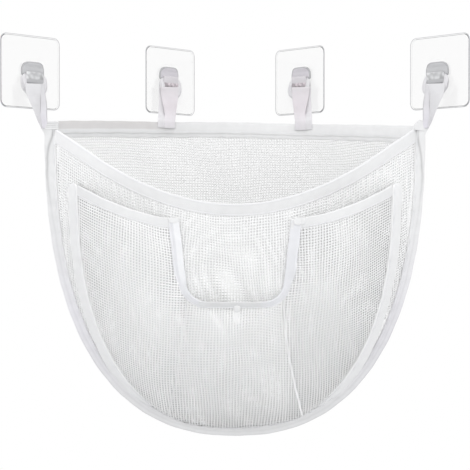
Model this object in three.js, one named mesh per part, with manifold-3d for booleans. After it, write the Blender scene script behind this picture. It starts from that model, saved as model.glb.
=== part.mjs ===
import * as THREE from 'three';
import { mergeVertices } from 'three/addons/utils/BufferGeometryUtils.js';
import Module from 'manifold-3d';

// A mesh bag for bath toys, hung across the corner of two walls by four
// clear adhesive hooks. Millimetres, +Z up, +Y into the room corner.
// Heights are counted from the two top corners of the bag, and x = 0 is
// its middle. The finished part is then centred on its own box.

// Bag outline, to the outer edge of its binding
const bagHalfWidth = 158;
const bagDrop = 263;
const outlineDropPower = 2.62;
const outlineWidthPower = 2.335;
const cornerRise = 3.5;

// Walls, and the gap between pieces that touch
const outerHookReach = 12.8;
const cornerReach = bagHalfWidth + outerHookReach;
const wallTurn = Math.PI / 4;
const seatGap = 0.3;

// Depth of the bag
const seamTopDepth = -2;
const seamBottomDepth = 36;
const seamLeanPower = 1.5;
const frontBulge = 52;
const frontBulgePower = 0.8;
const cornerClearance = 65.8;
const backFlatDepth = cornerReach - cornerClearance;
const backSpreadShare = 1.12;
const backRoundPower = 8;
const backClosePower = 2.2;

// Fabric
const netThickness = 0.8;
const tapeThickness = 2.2;
const tapeTurnShare = 0.2;
const seamTapeWidth = 8;
const seamTapeThickness = 3.2;
const layerGap = 0.6;

// A plain grid of openings stands for the fine mesh of every net
const netBarWidth = 7;
const netHem = 3.5;
const netOpenings = 12;
const pocketOpeningsAcross = 4;
const pocketOpeningsDown = 6;

// Scooped front rim and the band along the back edge
const rimTapeWidth = 10;
const rimHalfSpan = bagHalfWidth - seamTapeWidth;
const rimDrop = 64;
const rimRise = 68;
const rimPower = 1.95;
const backBandWidth = 10;
const backBandEndHeight = 5;
const backBandRise = 6;
const backBandPower = 4;

// Front pocket layer
const pocketEdgeInset = 22.5;
const pocketHalfWidth = bagHalfWidth - pocketEdgeInset;
const pocketTop = 57.5;
const pocketShoulder = 11;
const pocketDropPower = 2.39;
const pocketPipingWidth = 7;
const pocketRimWidth = 8;
const pocketRimDrop = 75.7;
const pocketRimRise = 27.5;
const pocketRimPower = 1.6;
const pocketBulge = 16;
const pocketBulgePower = 0.8;

// Notch in the pocket layer and the seams under it
const notchHalfTop = 44.5;
const notchHalfBottom = 39.5;
const notchBottom = 142.4;
const notchRadius = 16;
const notchTapeWidth = 6;
const middleBulge = 12;
const pocketSeamWidth = 4;
const pocketSeamThickness = 1.4;
const pocketSeamSpread = 24;
const pocketSeamPower = 1.6;
const pocketFootDrop = 241;
const middleSeamWidth = 7;
const middleSeamLength = 36;

// Pads and hooks
const padSize = 60;
const padRadius = 6;
const padThickness = 1;
const adhesiveInset = 1;
const adhesiveThickness = 0.4;
const outerPadHeight = 46.6;
const outerHookShift = -1.3;
const innerPadHeight = 50.5;
const innerPadHalfSpan = 60;
const innerHookShift = 3.2;
const hookHeight = 19;
const capWidth = 23.5;
const capHeight = 9.8;
const capRadius = 7.5;
const tongueWidth = 16;
const tongueThickness = 1.4;
const hookValley = 3.2;
const lipThickness = 1.4;
const lipHeight = 4.2;
const armThickness = 3.3;
const hookRound = 1.6;

// Ribbon straps
const ribbonWidth = 16;
const ribbonThickness = 1;
const eyeRibbonWidth = 2.6;
const eyeFootWidth = 5.6;
const eyeHalfWidth = 10.2;
const eyeCorner = 2.4;
const eyeSide = 9;
const eyeHeight = 15.5;
const eyeTail = 3;
const outerStrapInset = 2;
const outerStrapTurn = THREE.MathUtils.degToRad(66);
const innerStrapShift = 2;
const innerStrapSpan = innerPadHalfSpan + innerStrapShift;
const strapOverlap = 9.5;
const twistFullShare = 0.55;
const strapLeanPower = 2;

// Fineness of the shapes
const outlineSteps = 44;
const rimSteps = 36;
const openingSteps = 2;
const pocketSteps = 3;
const endBarSteps = 3;
const pipingSteps = 20;
const notchSteps = 48;
const seamSteps = 12;
const twistSteps = 10;
const arcSteps = 5;
const searchSteps = 30;
const slopeStepShare = 0.001;

const wasm = await Module();
wasm.setup();

const material = (name, color, roughness) => {
  const made = new THREE.MeshStandardMaterial({ color, roughness, metalness: 0 });
  made.name = name;
  return made;
};
const netFinish = material('mesh_net', 0xe6e6ea, 0.85);
const tapeFinish = material('binding_tape', 0xe9e9f0, 0.8);
const ribbonFinish = material('ribbon', 0xe2dee4, 0.8);
const padFinish = material('clear_pad', 0xf6f7f8, 0.15);
const adhesiveFinish = material('clear_adhesive', 0xf2f3f4, 0.4);
const hookFinish = material('clear_hook', 0xb9b7bd, 0.2);

const lerp = THREE.MathUtils.lerp;
const clamp = THREE.MathUtils.clamp;

// Surfaces of the bag: each gives the depth y over a place (x, z)

const dropShare = (z) => clamp(-z / bagDrop, 0, 1);

function seamDepth(z) {
  return lerp(seamTopDepth, seamBottomDepth, dropShare(z) ** seamLeanPower);
}

// How far a place lies inside the seam: 1 at the top middle, 0 on the seam
function insideShare(x, z) {
  const across = Math.abs(x) / (bagHalfWidth - seamTapeWidth);
  return clamp(1 - across ** outlineWidthPower - netDropShare(z) ** outlineDropPower, 0, 1);
}

function frontPoint(x, z) {
  const bulge = frontBulge * insideShare(x, z) ** frontBulgePower;
  return new THREE.Vector3(x, seamDepth(z) - bulge - layerGap, z);
}

// How far down the nets a height lies: 0 at the corners, 1 at the foot
const netDropShare = (z) => clamp(-z / (bagDrop - seamTapeWidth), 0, 1);

function netHalfWidth(z) {
  const narrowed = (1 - netDropShare(z) ** outlineDropPower) ** (1 / outlineWidthPower);
  return (bagHalfWidth - seamTapeWidth) * narrowed;
}

// The back runs along both walls and rounds off across the corner
function backPoint(x, z) {
  const full = bagHalfWidth - seamTapeWidth;
  const across = clamp(Math.abs(x) / Math.max(netHalfWidth(z), seatGap), 0, 1);
  const alongWall = backSpreadShare * full * (1 - across);
  const round = (alongWall ** backRoundPower + backFlatDepth ** backRoundPower) ** (1 / backRoundPower);
  const reach = alongWall * backFlatDepth / round;
  const y = seamDepth(z) + reach * (1 - netDropShare(z) ** backClosePower);
  return new THREE.Vector3(x, y + layerGap, z);
}

function surfaceNormal(surface, x, z) {
  const step = bagHalfWidth * slopeStepShare;
  const alongX = surface(x + step, z).sub(surface(x - step, z));
  const alongZ = surface(x, z + step).sub(surface(x, z - step));
  return alongX.cross(alongZ).normalize();
}

// A place held off a surface, towards the front
function raised(surface, x, z, distance) {
  return surface(x, z).addScaledVector(surfaceNormal(surface, x, z), distance);
}

// Lines drawn on the bag, as heights over x

function frontRimHeight(x) {
  return rimRise * (Math.abs(x) / rimHalfSpan) ** rimPower - rimDrop;
}

function backBandHeight(x) {
  return backBandEndHeight + backBandRise * (1 - (Math.abs(x) / rimHalfSpan) ** backBandPower);
}

function pocketRimHeight(x) {
  const outer = pocketHalfWidth - pocketPipingWidth;
  const share = clamp((Math.abs(x) - notchHalfTop) / (outer - notchHalfTop), 0, 1);
  return pocketRimRise * share ** pocketRimPower - pocketRimDrop;
}

// Drops a distance, measured square to the line, below a height line
function below(height, x, distance) {
  const step = bagHalfWidth * slopeStepShare;
  const slope = (height(x + step) - height(x - step)) / (2 * step);
  return height(x) - distance * Math.hypot(1, slope);
}

// The two outlines: the bag's and the pocket layer's

function outlinePath() {
  const path = [new THREE.Vector2(-bagHalfWidth, cornerRise)];
  for (let i = 0; i <= outlineSteps; i += 1) {
    const turn = Math.PI * i / outlineSteps;
    const wide = Math.abs(Math.cos(turn)) ** (2 / outlineWidthPower);
    const down = Math.sin(turn) ** (2 / outlineDropPower);
    path.push(new THREE.Vector2(-Math.sign(Math.cos(turn)) * bagHalfWidth * wide, -bagDrop * down));
  }
  path.push(new THREE.Vector2(bagHalfWidth, cornerRise));
  return path;
}

// Moves every point of a path square to the path, to its left
function offsetPath(path, distance) {
  return path.map((point, i) => {
    const before = path[Math.max(i - 1, 0)];
    const after = path[Math.min(i + 1, path.length - 1)];
    const along = after.clone().sub(before).normalize();
    return new THREE.Vector2(point.x - along.y * distance, point.y + along.x * distance);
  });
}

const bagOutline = outlinePath();
const bindingInner = offsetPath(bagOutline, seamTapeWidth);
const netEdge = offsetPath(bagOutline, seamTapeWidth + seatGap);

// Half width of the pocket layer, to the outer edge of its piping
function pocketOutline(z) {
  const down = clamp((-pocketTop - z) / (bagDrop - pocketTop), 0, 1);
  return pocketHalfWidth * (1 - down ** pocketDropPower) ** (1 / outlineWidthPower);
}

// The pocket outline moved inwards, measured square to it
function pocketInset(z, distance) {
  const step = bagHalfWidth * slopeStepShare;
  const slope = (pocketOutline(z + step) - pocketOutline(z - step)) / (2 * step);
  return pocketOutline(z) - distance * Math.hypot(1, slope);
}

// Where the edge of the nets lies: its half width at a height
function netEdgeHalfWidth(z) {
  const middle = (netEdge.length - 1) / 2;
  let i = 1;
  while (i < middle && netEdge[i].y > z) i += 1;
  const share = clamp((netEdge[i - 1].y - z) / (netEdge[i - 1].y - netEdge[i].y), 0, 1);
  return -lerp(netEdge[i - 1].x, netEdge[i].x, share);
}

// Where the edge of the nets lies: its height under a place
function netEdgeHeight(x) {
  let i = 1;
  while (i < netEdge.length - 1 && netEdge[i].x < x) i += 1;
  const share = clamp((x - netEdge[i - 1].x) / (netEdge[i].x - netEdge[i - 1].x), 0, 1);
  return lerp(netEdge[i - 1].y, netEdge[i].y, share);
}

// Half width of the open notch beside its tape
function notchHalf(z) {
  const share = (-pocketRimDrop - z) / (notchBottom - notchRadius - pocketRimDrop);
  return lerp(notchHalfTop, notchHalfBottom, clamp(share, 0, 1));
}

// Outer edge of the notch tape, beside the notch and round its corners
function notchOuterHalf(z) {
  const belowSides = -z - (notchBottom - notchRadius);
  if (belowSides <= 0) return notchHalf(z) + notchTapeWidth;
  const reach = notchRadius + notchTapeWidth;
  return notchHalfBottom - notchRadius + Math.sqrt(Math.max(reach ** 2 - belowSides ** 2, 0));
}

// Lower edge of the notch tape, with a distance added under it
function notchFoot(x, distance) {
  const beyond = Math.max(Math.abs(x) - (notchHalfBottom - notchRadius), 0);
  const reach = notchRadius + notchTapeWidth + distance;
  return -(notchBottom - notchRadius) - Math.sqrt(Math.max(reach ** 2 - beyond ** 2, 0));
}

// The seams that part the pockets, under the notch
function pocketSeamOffset(z) {
  const down = clamp((-notchBottom - z) / (bagDrop - notchBottom), 0, 1);
  return notchHalfBottom + pocketSeamSpread * down ** pocketSeamPower;
}

function pocketInnerEdge(z) {
  return Math.max(notchOuterHalf(z), pocketSeamOffset(z) + pocketSeamWidth / 2) + seatGap;
}

function pocketOuterEdge(z) {
  return Math.min(pocketInset(z, pocketPipingWidth + seatGap), netEdgeHalfWidth(z));
}

// How far the pocket layer stands off the front panel
const standOff = netThickness / 2 + tapeThickness / 2 + seatGap;

function sidePocketSwell(x, z) {
  const inner = pocketInnerEdge(z);
  const outer = pocketOuterEdge(z);
  const share = clamp((Math.abs(x) - inner) / Math.max(outer - inner, seatGap), 0, 1);
  const open = 1 - dropShare(z) ** outlineDropPower;
  return pocketBulge * open * (4 * share * (1 - share)) ** pocketBulgePower;
}

function middlePocketSwell(x, z) {
  const half = Math.max(pocketSeamOffset(z), notchHalfBottom);
  const share = clamp(Math.abs(x) / half, 0, 1);
  const open = 1 - dropShare(z) ** outlineDropPower;
  return middleBulge * open * (1 - share ** 2) ** pocketBulgePower;
}

function sidePocketPoint(x, z) {
  const point = raised(frontPoint, x, z, standOff);
  point.y -= sidePocketSwell(x, z);
  return point;
}

function middlePocketPoint(x, z) {
  const point = raised(frontPoint, x, z, standOff);
  point.y -= middlePocketSwell(x, z);
  return point;
}

const besidePocketPoint = (x, z) => raised(frontPoint, x, z, standOff);

// Closed bodies

function signedVolume(positions, indices) {
  const a = new THREE.Vector3();
  const b = new THREE.Vector3();
  const c = new THREE.Vector3();
  let total = 0;
  for (let i = 0; i < indices.length; i += 3) {
    a.fromArray(positions, 3 * indices[i]);
    b.fromArray(positions, 3 * indices[i + 1]);
    c.fromArray(positions, 3 * indices[i + 2]);
    total += a.dot(b.cross(c));
  }
  return total / 6;
}

// Makes the geometry, with its faces turned outwards
function bodyGeometry(points, indices) {
  const positions = points.flatMap((point) => [point.x, point.y, point.z]);
  const order = signedVolume(positions, indices) < 0 ? [...indices].reverse() : indices;
  const geometry = new THREE.BufferGeometry();
  geometry.setAttribute('position', new THREE.Float32BufferAttribute(positions, 3));
  geometry.setIndex(order);
  geometry.computeVertexNormals();
  return geometry;
}

// Joins rings of points, all with the same count, into one closed bar. The
// second half of each ring is split the other way, so that a twist stays even.
function barGeometry(rings) {
  const sides = rings[0].length;
  const points = rings.flat();
  const indices = [];
  for (let i = 0; i + 1 < rings.length; i += 1) {
    for (let j = 0; j < sides; j += 1) {
      const a = i * sides + j;
      const b = i * sides + (j + 1) % sides;
      if (j < sides / 2) indices.push(a, b, b + sides, a, b + sides, a + sides);
      else indices.push(a, b, a + sides, b, b + sides, a + sides);
    }
  }
  const last = (rings.length - 1) * sides;
  for (let j = 1; j + 1 < sides; j += 1) {
    indices.push(0, j + 1, j, last, last + j, last + j + 1);
  }
  return bodyGeometry(points, indices);
}

const pathDirection = (points, i) => {
  const before = points[Math.max(i - 1, 0)];
  const after = points[Math.min(i + 1, points.length - 1)];
  return after.clone().sub(before).normalize();
};

// A folded tape between two edges: thin at both edges, full between them
function tapeGeometry(outer, inner, thickness) {
  const rings = outer.map((start, i) => {
    const across = inner[i].clone().sub(start);
    const up = pathDirection(outer, i).cross(across).normalize().multiplyScalar(thickness / 2);
    const near = start.clone().addScaledVector(across, tapeTurnShare);
    const far = start.clone().addScaledVector(across, 1 - tapeTurnShare);
    const front = [near.clone().add(up), far.clone().add(up)];
    const back = [far.clone().sub(up), near.clone().sub(up)];
    return [start, ...front, inner[i], ...back];
  });
  return barGeometry(rings);
}

// Gives a skin of triangles its thickness: a front, a back and a wall on each
// edge that only one triangle has
function thickened(points, triangles, thickness) {
  const normals = points.map(() => new THREE.Vector3());
  for (const [a, b, c] of triangles) {
    const side = points[b].clone().sub(points[a]);
    const normal = side.cross(points[c].clone().sub(points[a]));
    for (const corner of [a, b, c]) normals[corner].add(normal);
  }
  normals.forEach((normal) => normal.normalize().multiplyScalar(thickness / 2));
  const front = points.map((point, i) => point.clone().add(normals[i]));
  const back = points.map((point, i) => point.clone().sub(normals[i]));
  const half = points.length;
  const indices = [];
  const single = new Map();
  for (const [a, b, c] of triangles) {
    indices.push(a, b, c, half + a, half + c, half + b);
    for (const [from, to] of [[a, b], [b, c], [c, a]]) {
      if (!single.delete(`${to} ${from}`)) single.set(`${from} ${to}`, [from, to]);
    }
  }
  for (const [a, b] of single.values()) indices.push(a, half + b, b, a, half + a, half + b);
  return bodyGeometry([...front, ...back], indices);
}

// A thin sheet around a grid of points, grid[column][row], without its open cells
function sheetGeometry(grid, thickness, isOpen) {
  const rows = grid[0].length;
  const triangles = [];
  for (let i = 0; i + 1 < grid.length; i += 1) {
    for (let j = 0; j + 1 < rows; j += 1) {
      const a = i * rows + j;
      const b = a + rows;
      if (!isOpen(i, j)) triangles.push([a, b, b + 1], [a, b + 1, a + 1]);
    }
  }
  return thickened(grid.flat(), triangles, thickness);
}

const mesh = (name, geometry, finish) => {
  const made = new THREE.Mesh(geometry, finish);
  made.name = name;
  return made;
};

// Bag panels

const netHalf = bagHalfWidth - seamTapeWidth - 2 * seatGap;
const netPitch = (2 * netHalf - netBarWidth) / netOpenings;

// Upright lines of a net, where bars and openings take turns; open tells
// whether an opening lies on the line's right
function netColumns() {
  const columns = [];
  const add = (from, width, steps, open) => {
    for (let i = 0; i < steps; i += 1) columns.push({ x: from + width * i / steps, open });
  };
  for (let i = 0; i < netOpenings; i += 1) {
    const start = i * netPitch - netHalf;
    add(start, netBarWidth, i ? 1 : endBarSteps, false);
    add(start + netBarWidth, netPitch - netBarWidth, openingSteps, true);
  }
  add(netHalf - netBarWidth, netBarWidth, endBarSteps, false);
  return [...columns, { x: netHalf, open: false }];
}

// Stops down one line of a net: its top, the openings' upper (even) and lower
// (odd) levels that leave a hem, and its foot
function netStops(top, foot) {
  const stops = [{ level: -1, z: top }];
  const height = (level) => -netPitch * Math.floor(level / 2) - (level % 2 ? netPitch : netBarWidth);
  for (let level = 0; height(level) > foot + netHem; level += 1) {
    if (height(level) < top - netHem) stops.push({ level, z: height(level) });
  }
  return [...stops, { level: Infinity, z: foot }];
}

// Triangles between two lines of a net, without the openings between them
function netStrip(left, right, open) {
  const triangles = [];
  let i = 0;
  let j = 0;
  while (i + 1 < left.length || j + 1 < right.length) {
    const a = left[i];
    const b = right[j];
    const c = right[j + 1] ?? { level: Infinity };
    const d = left[i + 1] ?? { level: Infinity };
    const square = a.level === b.level && c.level === d.level;
    if (square) {
      const cut = open && a.level >= 0 && a.level % 2 === 0 && c.level === a.level + 1;
      if (!cut) triangles.push([a.point, b.point, c.point], [a.point, c.point, d.point]);
      i += 1;
      j += 1;
    } else if (j + 1 === right.length || (i + 1 < left.length && d.level < c.level)) {
      triangles.push([a.point, b.point, d.point]);
      i += 1;
    } else {
      triangles.push([a.point, b.point, c.point]);
      j += 1;
    }
  }
  return triangles;
}

// A panel between a top line and the inner edge of the binding
function hungPanel(topHeight, tapeWidth, surface) {
  const points = [];
  const columns = netColumns().map(({ x, open }) => {
    const stops = netStops(below(topHeight, x, tapeWidth + seatGap), netEdgeHeight(x));
    for (const stop of stops) stop.point = points.push(surface(x, stop.z)) - 1;
    return { stops, open };
  });
  const triangles = [];
  for (let i = 0; i + 1 < columns.length; i += 1) {
    triangles.push(...netStrip(columns[i].stops, columns[i + 1].stops, columns[i].open));
  }
  return thickened(points, triangles, netThickness);
}

// A tape that hangs from a height line between two places
function lineTape(height, from, to, width, surface, steps) {
  const outer = [];
  const inner = [];
  for (let i = 0; i <= steps; i += 1) {
    const x = lerp(from, to, i / steps);
    outer.push(surface(x, height(x)));
    inner.push(surface(x, below(height, x, width)));
  }
  return tapeGeometry(outer, inner, tapeThickness);
}

function seamBinding() {
  const lift = (point) => new THREE.Vector3(point.x, seamDepth(point.y), point.y);
  return tapeGeometry(bagOutline.map(lift), bindingInner.map(lift), seamTapeThickness);
}

// Pocket layer

// Places along a stretch, as shares of it, where bars and openings take turns;
// open tells whether an opening follows
function barPlaces(openings, barShare, steps) {
  const pitch = (1 - barShare) / openings;
  const places = [];
  for (let i = 0; i < openings; i += 1) {
    places.push({ share: i * pitch, open: false });
    for (let k = 0; k < steps; k += 1) {
      places.push({ share: i * pitch + lerp(barShare, pitch, k / steps), open: true });
    }
  }
  return [...places, { share: 1 - barShare, open: false }, { share: 1, open: false }];
}

// A pocket's net between places across and down it, open wherever an opening
// would be wider than a bar
function pocketNet(width, height, pointAt) {
  const across = barPlaces(pocketOpeningsAcross, netBarWidth / width, 1);
  const down = barPlaces(pocketOpeningsDown, netBarWidth / height, pocketSteps);
  const grid = across.map((column) => down.map((row) => pointAt(column.share, row.share)));
  const isOpen = (i, j) => across[i].open && down[j].open
    && grid[i][j + 1].distanceTo(grid[i + 1][j + 1]) > netBarWidth;
  return sheetGeometry(grid, netThickness, isOpen);
}

// A side pocket's panel; side is -1 on the left and 1 on the right
function sidePocketPanel(side) {
  const top = pocketRimDrop + pocketRimWidth + seatGap;
  return pocketNet(pocketHalfWidth - notchHalfTop, pocketFootDrop - top, (share, drop) => {
    const level = lerp(-top, -pocketFootDrop, drop);
    const x = lerp(pocketInnerEdge(level), pocketOuterEdge(level), share);
    const rim = below(pocketRimHeight, x, pocketRimWidth + seatGap);
    return sidePocketPoint(side * x, level + (rim + top) * (1 - drop) ** 2);
  });
}

function middlePocketPanel() {
  const seamHalf = (z) => pocketSeamOffset(z) - pocketSeamWidth / 2 - seatGap;
  return pocketNet(2 * notchHalfBottom, bagDrop - notchBottom, (place, drop) => {
    const share = 2 * place - 1;
    const top = notchFoot(share * seamHalf(-notchBottom), 2 * seatGap);
    const foot = netEdgeHeight(share * seamHalf(-bagDrop + seamTapeWidth));
    const z = lerp(top, foot, drop);
    return middlePocketPoint(share * seamHalf(z), z);
  });
}

function pocketRim(side) {
  const outer = pocketHalfWidth - pocketPipingWidth - seatGap;
  const ends = [side * notchHalfTop, side * outer].sort((a, b) => a - b);
  return lineTape(pocketRimHeight, ends[0], ends[1], pocketRimWidth, sidePocketPoint, pipingSteps);
}

// Lowest place of the side piping, where it runs into the bag's binding
function pipingFoot() {
  let upper = -pocketTop;
  let lower = -pocketFootDrop;
  for (let i = 0; i < searchSteps; i += 1) {
    const middle = (upper + lower) / 2;
    if (pocketOutline(middle) < netEdgeHalfWidth(middle)) upper = middle;
    else lower = middle;
  }
  return upper;
}

function pocketPiping(side) {
  const outer = [];
  const inner = [];
  const top = -pocketTop + pocketShoulder;
  const foot = pipingFoot();
  for (let i = 0; i <= pipingSteps; i += 1) {
    const z = lerp(top, foot, i / pipingSteps);
    outer.push(besidePocketPoint(side * pocketOutline(z), z));
    inner.push(besidePocketPoint(side * pocketInset(z, pocketPipingWidth), z));
  }
  return tapeGeometry(outer, inner, tapeThickness);
}

// The tape round the notch: down one side, across and up the other
function notchBinding() {
  const top = -pocketRimDrop - pocketRimWidth - seatGap;
  const corner = notchHalfBottom - notchRadius;
  const level = -(notchBottom - notchRadius);
  const path = new THREE.Path();
  path.moveTo(-notchHalf(top), top);
  path.lineTo(-notchHalfBottom, level);
  path.absarc(-corner, level, notchRadius, Math.PI, 1.5 * Math.PI, false);
  path.lineTo(corner, -notchBottom);
  path.absarc(corner, level, notchRadius, 1.5 * Math.PI, 2 * Math.PI, false);
  path.lineTo(notchHalf(top), top);
  const edge = path.getSpacedPoints(notchSteps);
  const lift = (point) => middlePocketPoint(point.x, point.y);
  return tapeGeometry(edge.map(lift), offsetPath(edge, -notchTapeWidth).map(lift), tapeThickness);
}

// A seam between two pockets, from the notch tape to the bag's binding
function pocketSeam(side) {
  const top = notchFoot(notchHalfBottom, 2 * seatGap);
  const foot = netEdgeHeight(side * pocketSeamOffset(-pocketFootDrop)) + seatGap;
  const outer = [];
  const inner = [];
  for (let i = 0; i <= seamSteps; i += 1) {
    const z = lerp(top, foot, i / seamSteps);
    const middle = pocketSeamOffset(z);
    outer.push(besidePocketPoint(side * (middle + pocketSeamWidth / 2), z));
    inner.push(besidePocketPoint(side * (middle - pocketSeamWidth / 2), z));
  }
  return tapeGeometry(outer, inner, pocketSeamThickness);
}

// The short tape down the middle pocket, on top of its net
function middleSeam() {
  const top = notchFoot(0, seatGap);
  const lift = netThickness / 2 + pocketSeamThickness / 2 + seatGap;
  const outer = [];
  const inner = [];
  for (let i = 0; i <= seamSteps; i += 1) {
    const z = top - middleSeamLength * i / seamSteps;
    outer.push(raised(middlePocketPoint, -middleSeamWidth / 2, z, lift));
    inner.push(raised(middlePocketPoint, middleSeamWidth / 2, z, lift));
  }
  return tapeGeometry(outer, inner, pocketSeamThickness);
}

// Pads and hooks, drawn on a wall: x along it, z up, -y into the room

const padFront = adhesiveThickness + seatGap + padThickness;
const tongueBack = padFront + seatGap;
const tongueFront = tongueBack + tongueThickness;
const lipBack = tongueFront + hookValley;
const valleyMiddle = tongueFront + hookValley / 2;

function roundedOutline(width, height, topRadius, footRadius) {
  const halfWidth = width / 2;
  const halfHeight = height / 2;
  const shape = new THREE.Shape();
  shape.moveTo(-halfWidth + footRadius, -halfHeight);
  shape.lineTo(halfWidth - footRadius, -halfHeight);
  shape.absarc(halfWidth - footRadius, -halfHeight + footRadius, footRadius, -Math.PI / 2, 0, false);
  shape.lineTo(halfWidth, halfHeight - topRadius);
  shape.absarc(halfWidth - topRadius, halfHeight - topRadius, topRadius, 0, Math.PI / 2, false);
  shape.lineTo(-halfWidth + topRadius, halfHeight);
  shape.absarc(-halfWidth + topRadius, halfHeight - topRadius, topRadius, Math.PI / 2, Math.PI, false);
  shape.lineTo(-halfWidth, -halfHeight + footRadius);
  shape.absarc(-halfWidth + footRadius, -halfHeight + footRadius, footRadius, Math.PI, 1.5 * Math.PI, false);
  return shape;
}

// A plate on the wall, between two distances from it
function wallPlate(shape, from, to) {
  const plate = new THREE.ExtrudeGeometry(shape, {
    depth: to - from,
    bevelEnabled: false,
    curveSegments: arcSteps,
  });
  plate.rotateX(Math.PI / 2);
  plate.translate(0, -from, 0);
  return plate;
}

// The J of the hook, seen from its side: distance from the wall and height
function hookProfile() {
  const armFoot = -hookHeight / 2;
  const valleyFoot = armFoot + armThickness;
  const lipTop = valleyFoot + lipHeight;
  const lipFront = lipBack + lipThickness;
  const shape = new THREE.Shape();
  shape.moveTo(tongueBack, hookHeight / 2 - capHeight / 2);
  shape.lineTo(tongueBack, armFoot);
  shape.lineTo(lipFront - hookRound, armFoot);
  shape.absarc(lipFront - hookRound, armFoot + hookRound, hookRound, -Math.PI / 2, 0, false);
  shape.lineTo(lipFront, lipTop - lipThickness / 2);
  shape.absarc(lipBack + lipThickness / 2, lipTop - lipThickness / 2, lipThickness / 2, 0, Math.PI, false);
  shape.lineTo(lipBack, valleyFoot);
  shape.lineTo(tongueFront, valleyFoot);
  shape.lineTo(tongueFront, hookHeight / 2 - capHeight / 2);
  return shape;
}

function solidOf(geometry) {
  const plain = geometry.clone();
  plain.deleteAttribute('normal');
  plain.deleteAttribute('uv');
  const merged = mergeVertices(plain, seatGap * slopeStepShare);
  return new wasm.Manifold(new wasm.Mesh({
    numProp: 3,
    vertProperties: new Float32Array(merged.attributes.position.array),
    triVerts: new Uint32Array(merged.index.array),
  }));
}

function geometryOf(solid) {
  const result = solid.getMesh();
  const geometry = new THREE.BufferGeometry();
  geometry.setAttribute('position', new THREE.Float32BufferAttribute(result.vertProperties, 3));
  geometry.setIndex([...result.triVerts]);
  geometry.computeVertexNormals();
  return geometry;
}

// Cap plate and J joined into one moulding
function hookGeometry() {
  const cap = wallPlate(roundedOutline(capWidth, capHeight, capRadius, hookRound), tongueBack, tongueFront);
  cap.translate(0, 0, hookHeight / 2 - capHeight / 2);
  const hook = new THREE.ExtrudeGeometry(hookProfile(), {
    depth: tongueWidth,
    bevelEnabled: false,
    curveSegments: arcSteps,
  });
  const toRoom = new THREE.Vector3(0, -1, 0);
  const up = new THREE.Vector3(0, 0, 1);
  const sideways = new THREE.Vector3(-1, 0, 0);
  hook.applyMatrix4(new THREE.Matrix4().makeBasis(toRoom, up, sideways));
  hook.translate(tongueWidth / 2, 0, 0);
  return geometryOf(solidOf(cap).add(solidOf(hook)));
}

// The four places on the walls

function hangerSite(name, side, outer) {
  const span = outer ? cornerReach : innerPadHalfSpan;
  return {
    name,
    side,
    outer,
    turn: -side * wallTurn,
    place: new THREE.Vector3(side * span, cornerReach - span, outer ? outerPadHeight : innerPadHeight),
    hookShift: outer ? outerHookShift : innerHookShift,
  };
}

const sites = [
  hangerSite('outer_left', -1, true),
  hangerSite('inner_left', -1, false),
  hangerSite('inner_right', 1, false),
  hangerSite('outer_right', 1, true),
];

function wallHanger(site) {
  const hanger = new THREE.Group();
  hanger.position.copy(site.place);
  hanger.rotation.z = site.turn;
  const glued = padSize - 2 * adhesiveInset;
  const glueOutline = roundedOutline(glued, glued, padRadius - adhesiveInset, padRadius - adhesiveInset);
  const padOutline = roundedOutline(padSize, padSize, padRadius, padRadius);
  const hook = mesh(`hook_${site.name}`, hookGeometry(), hookFinish);
  hook.position.z = site.hookShift;
  hanger.add(
    mesh(`adhesive_${site.name}`, wallPlate(glueOutline, 0, adhesiveThickness), adhesiveFinish),
    mesh(`pad_${site.name}`, wallPlate(padOutline, adhesiveThickness + seatGap, padFront), padFinish),
    hook,
  );
  return hanger;
}

// Straps: a flat ribbon whose upper end is sewn into an eye round the hook

function onWall(site, along, out, height) {
  const local = new THREE.Vector3(along, -out, height + site.hookShift);
  return local.applyAxisAngle(new THREE.Vector3(0, 0, 1), site.turn).add(site.place);
}

// The eye's middle line on the wall, from the seam round the hook and back
function eyeOutline() {
  const top = -hookHeight / 2 + armThickness + seatGap + ribbonThickness / 2;
  const foot = top - eyeHeight;
  const side = top - eyeSide;
  const seam = (ribbonThickness + seatGap) / 2;
  const path = new THREE.Path();
  path.moveTo(seam, foot - eyeTail - seatGap);
  path.lineTo(seam, foot);
  path.quadraticCurveTo(eyeHalfWidth, foot, eyeHalfWidth, side);
  path.lineTo(eyeHalfWidth, top - eyeCorner);
  path.absarc(eyeHalfWidth - eyeCorner, top - eyeCorner, eyeCorner, 0, Math.PI / 2, false);
  path.lineTo(-eyeHalfWidth + eyeCorner, top);
  path.absarc(-eyeHalfWidth + eyeCorner, top - eyeCorner, eyeCorner, Math.PI / 2, Math.PI, false);
  path.lineTo(-eyeHalfWidth, side);
  path.quadraticCurveTo(-eyeHalfWidth, foot, -seam, foot);
  path.lineTo(-seam, foot - eyeTail);
  return { path, top };
}

// Ribbon stations round the hook: narrow in the valley, wider at the foot
function eyeStations(site) {
  const { path, top } = eyeOutline();
  const toRoom = new THREE.Vector3(Math.sin(site.turn), -Math.cos(site.turn), 0);
  return path.getPoints(arcSteps).map((point) => {
    const down = clamp((top - point.y) / eyeSide, 0, 1);
    return {
      centre: onWall(site, point.x, valleyMiddle, point.y),
      across: toRoom,
      width: lerp(eyeRibbonWidth, eyeFootWidth, down),
    };
  });
}

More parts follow.
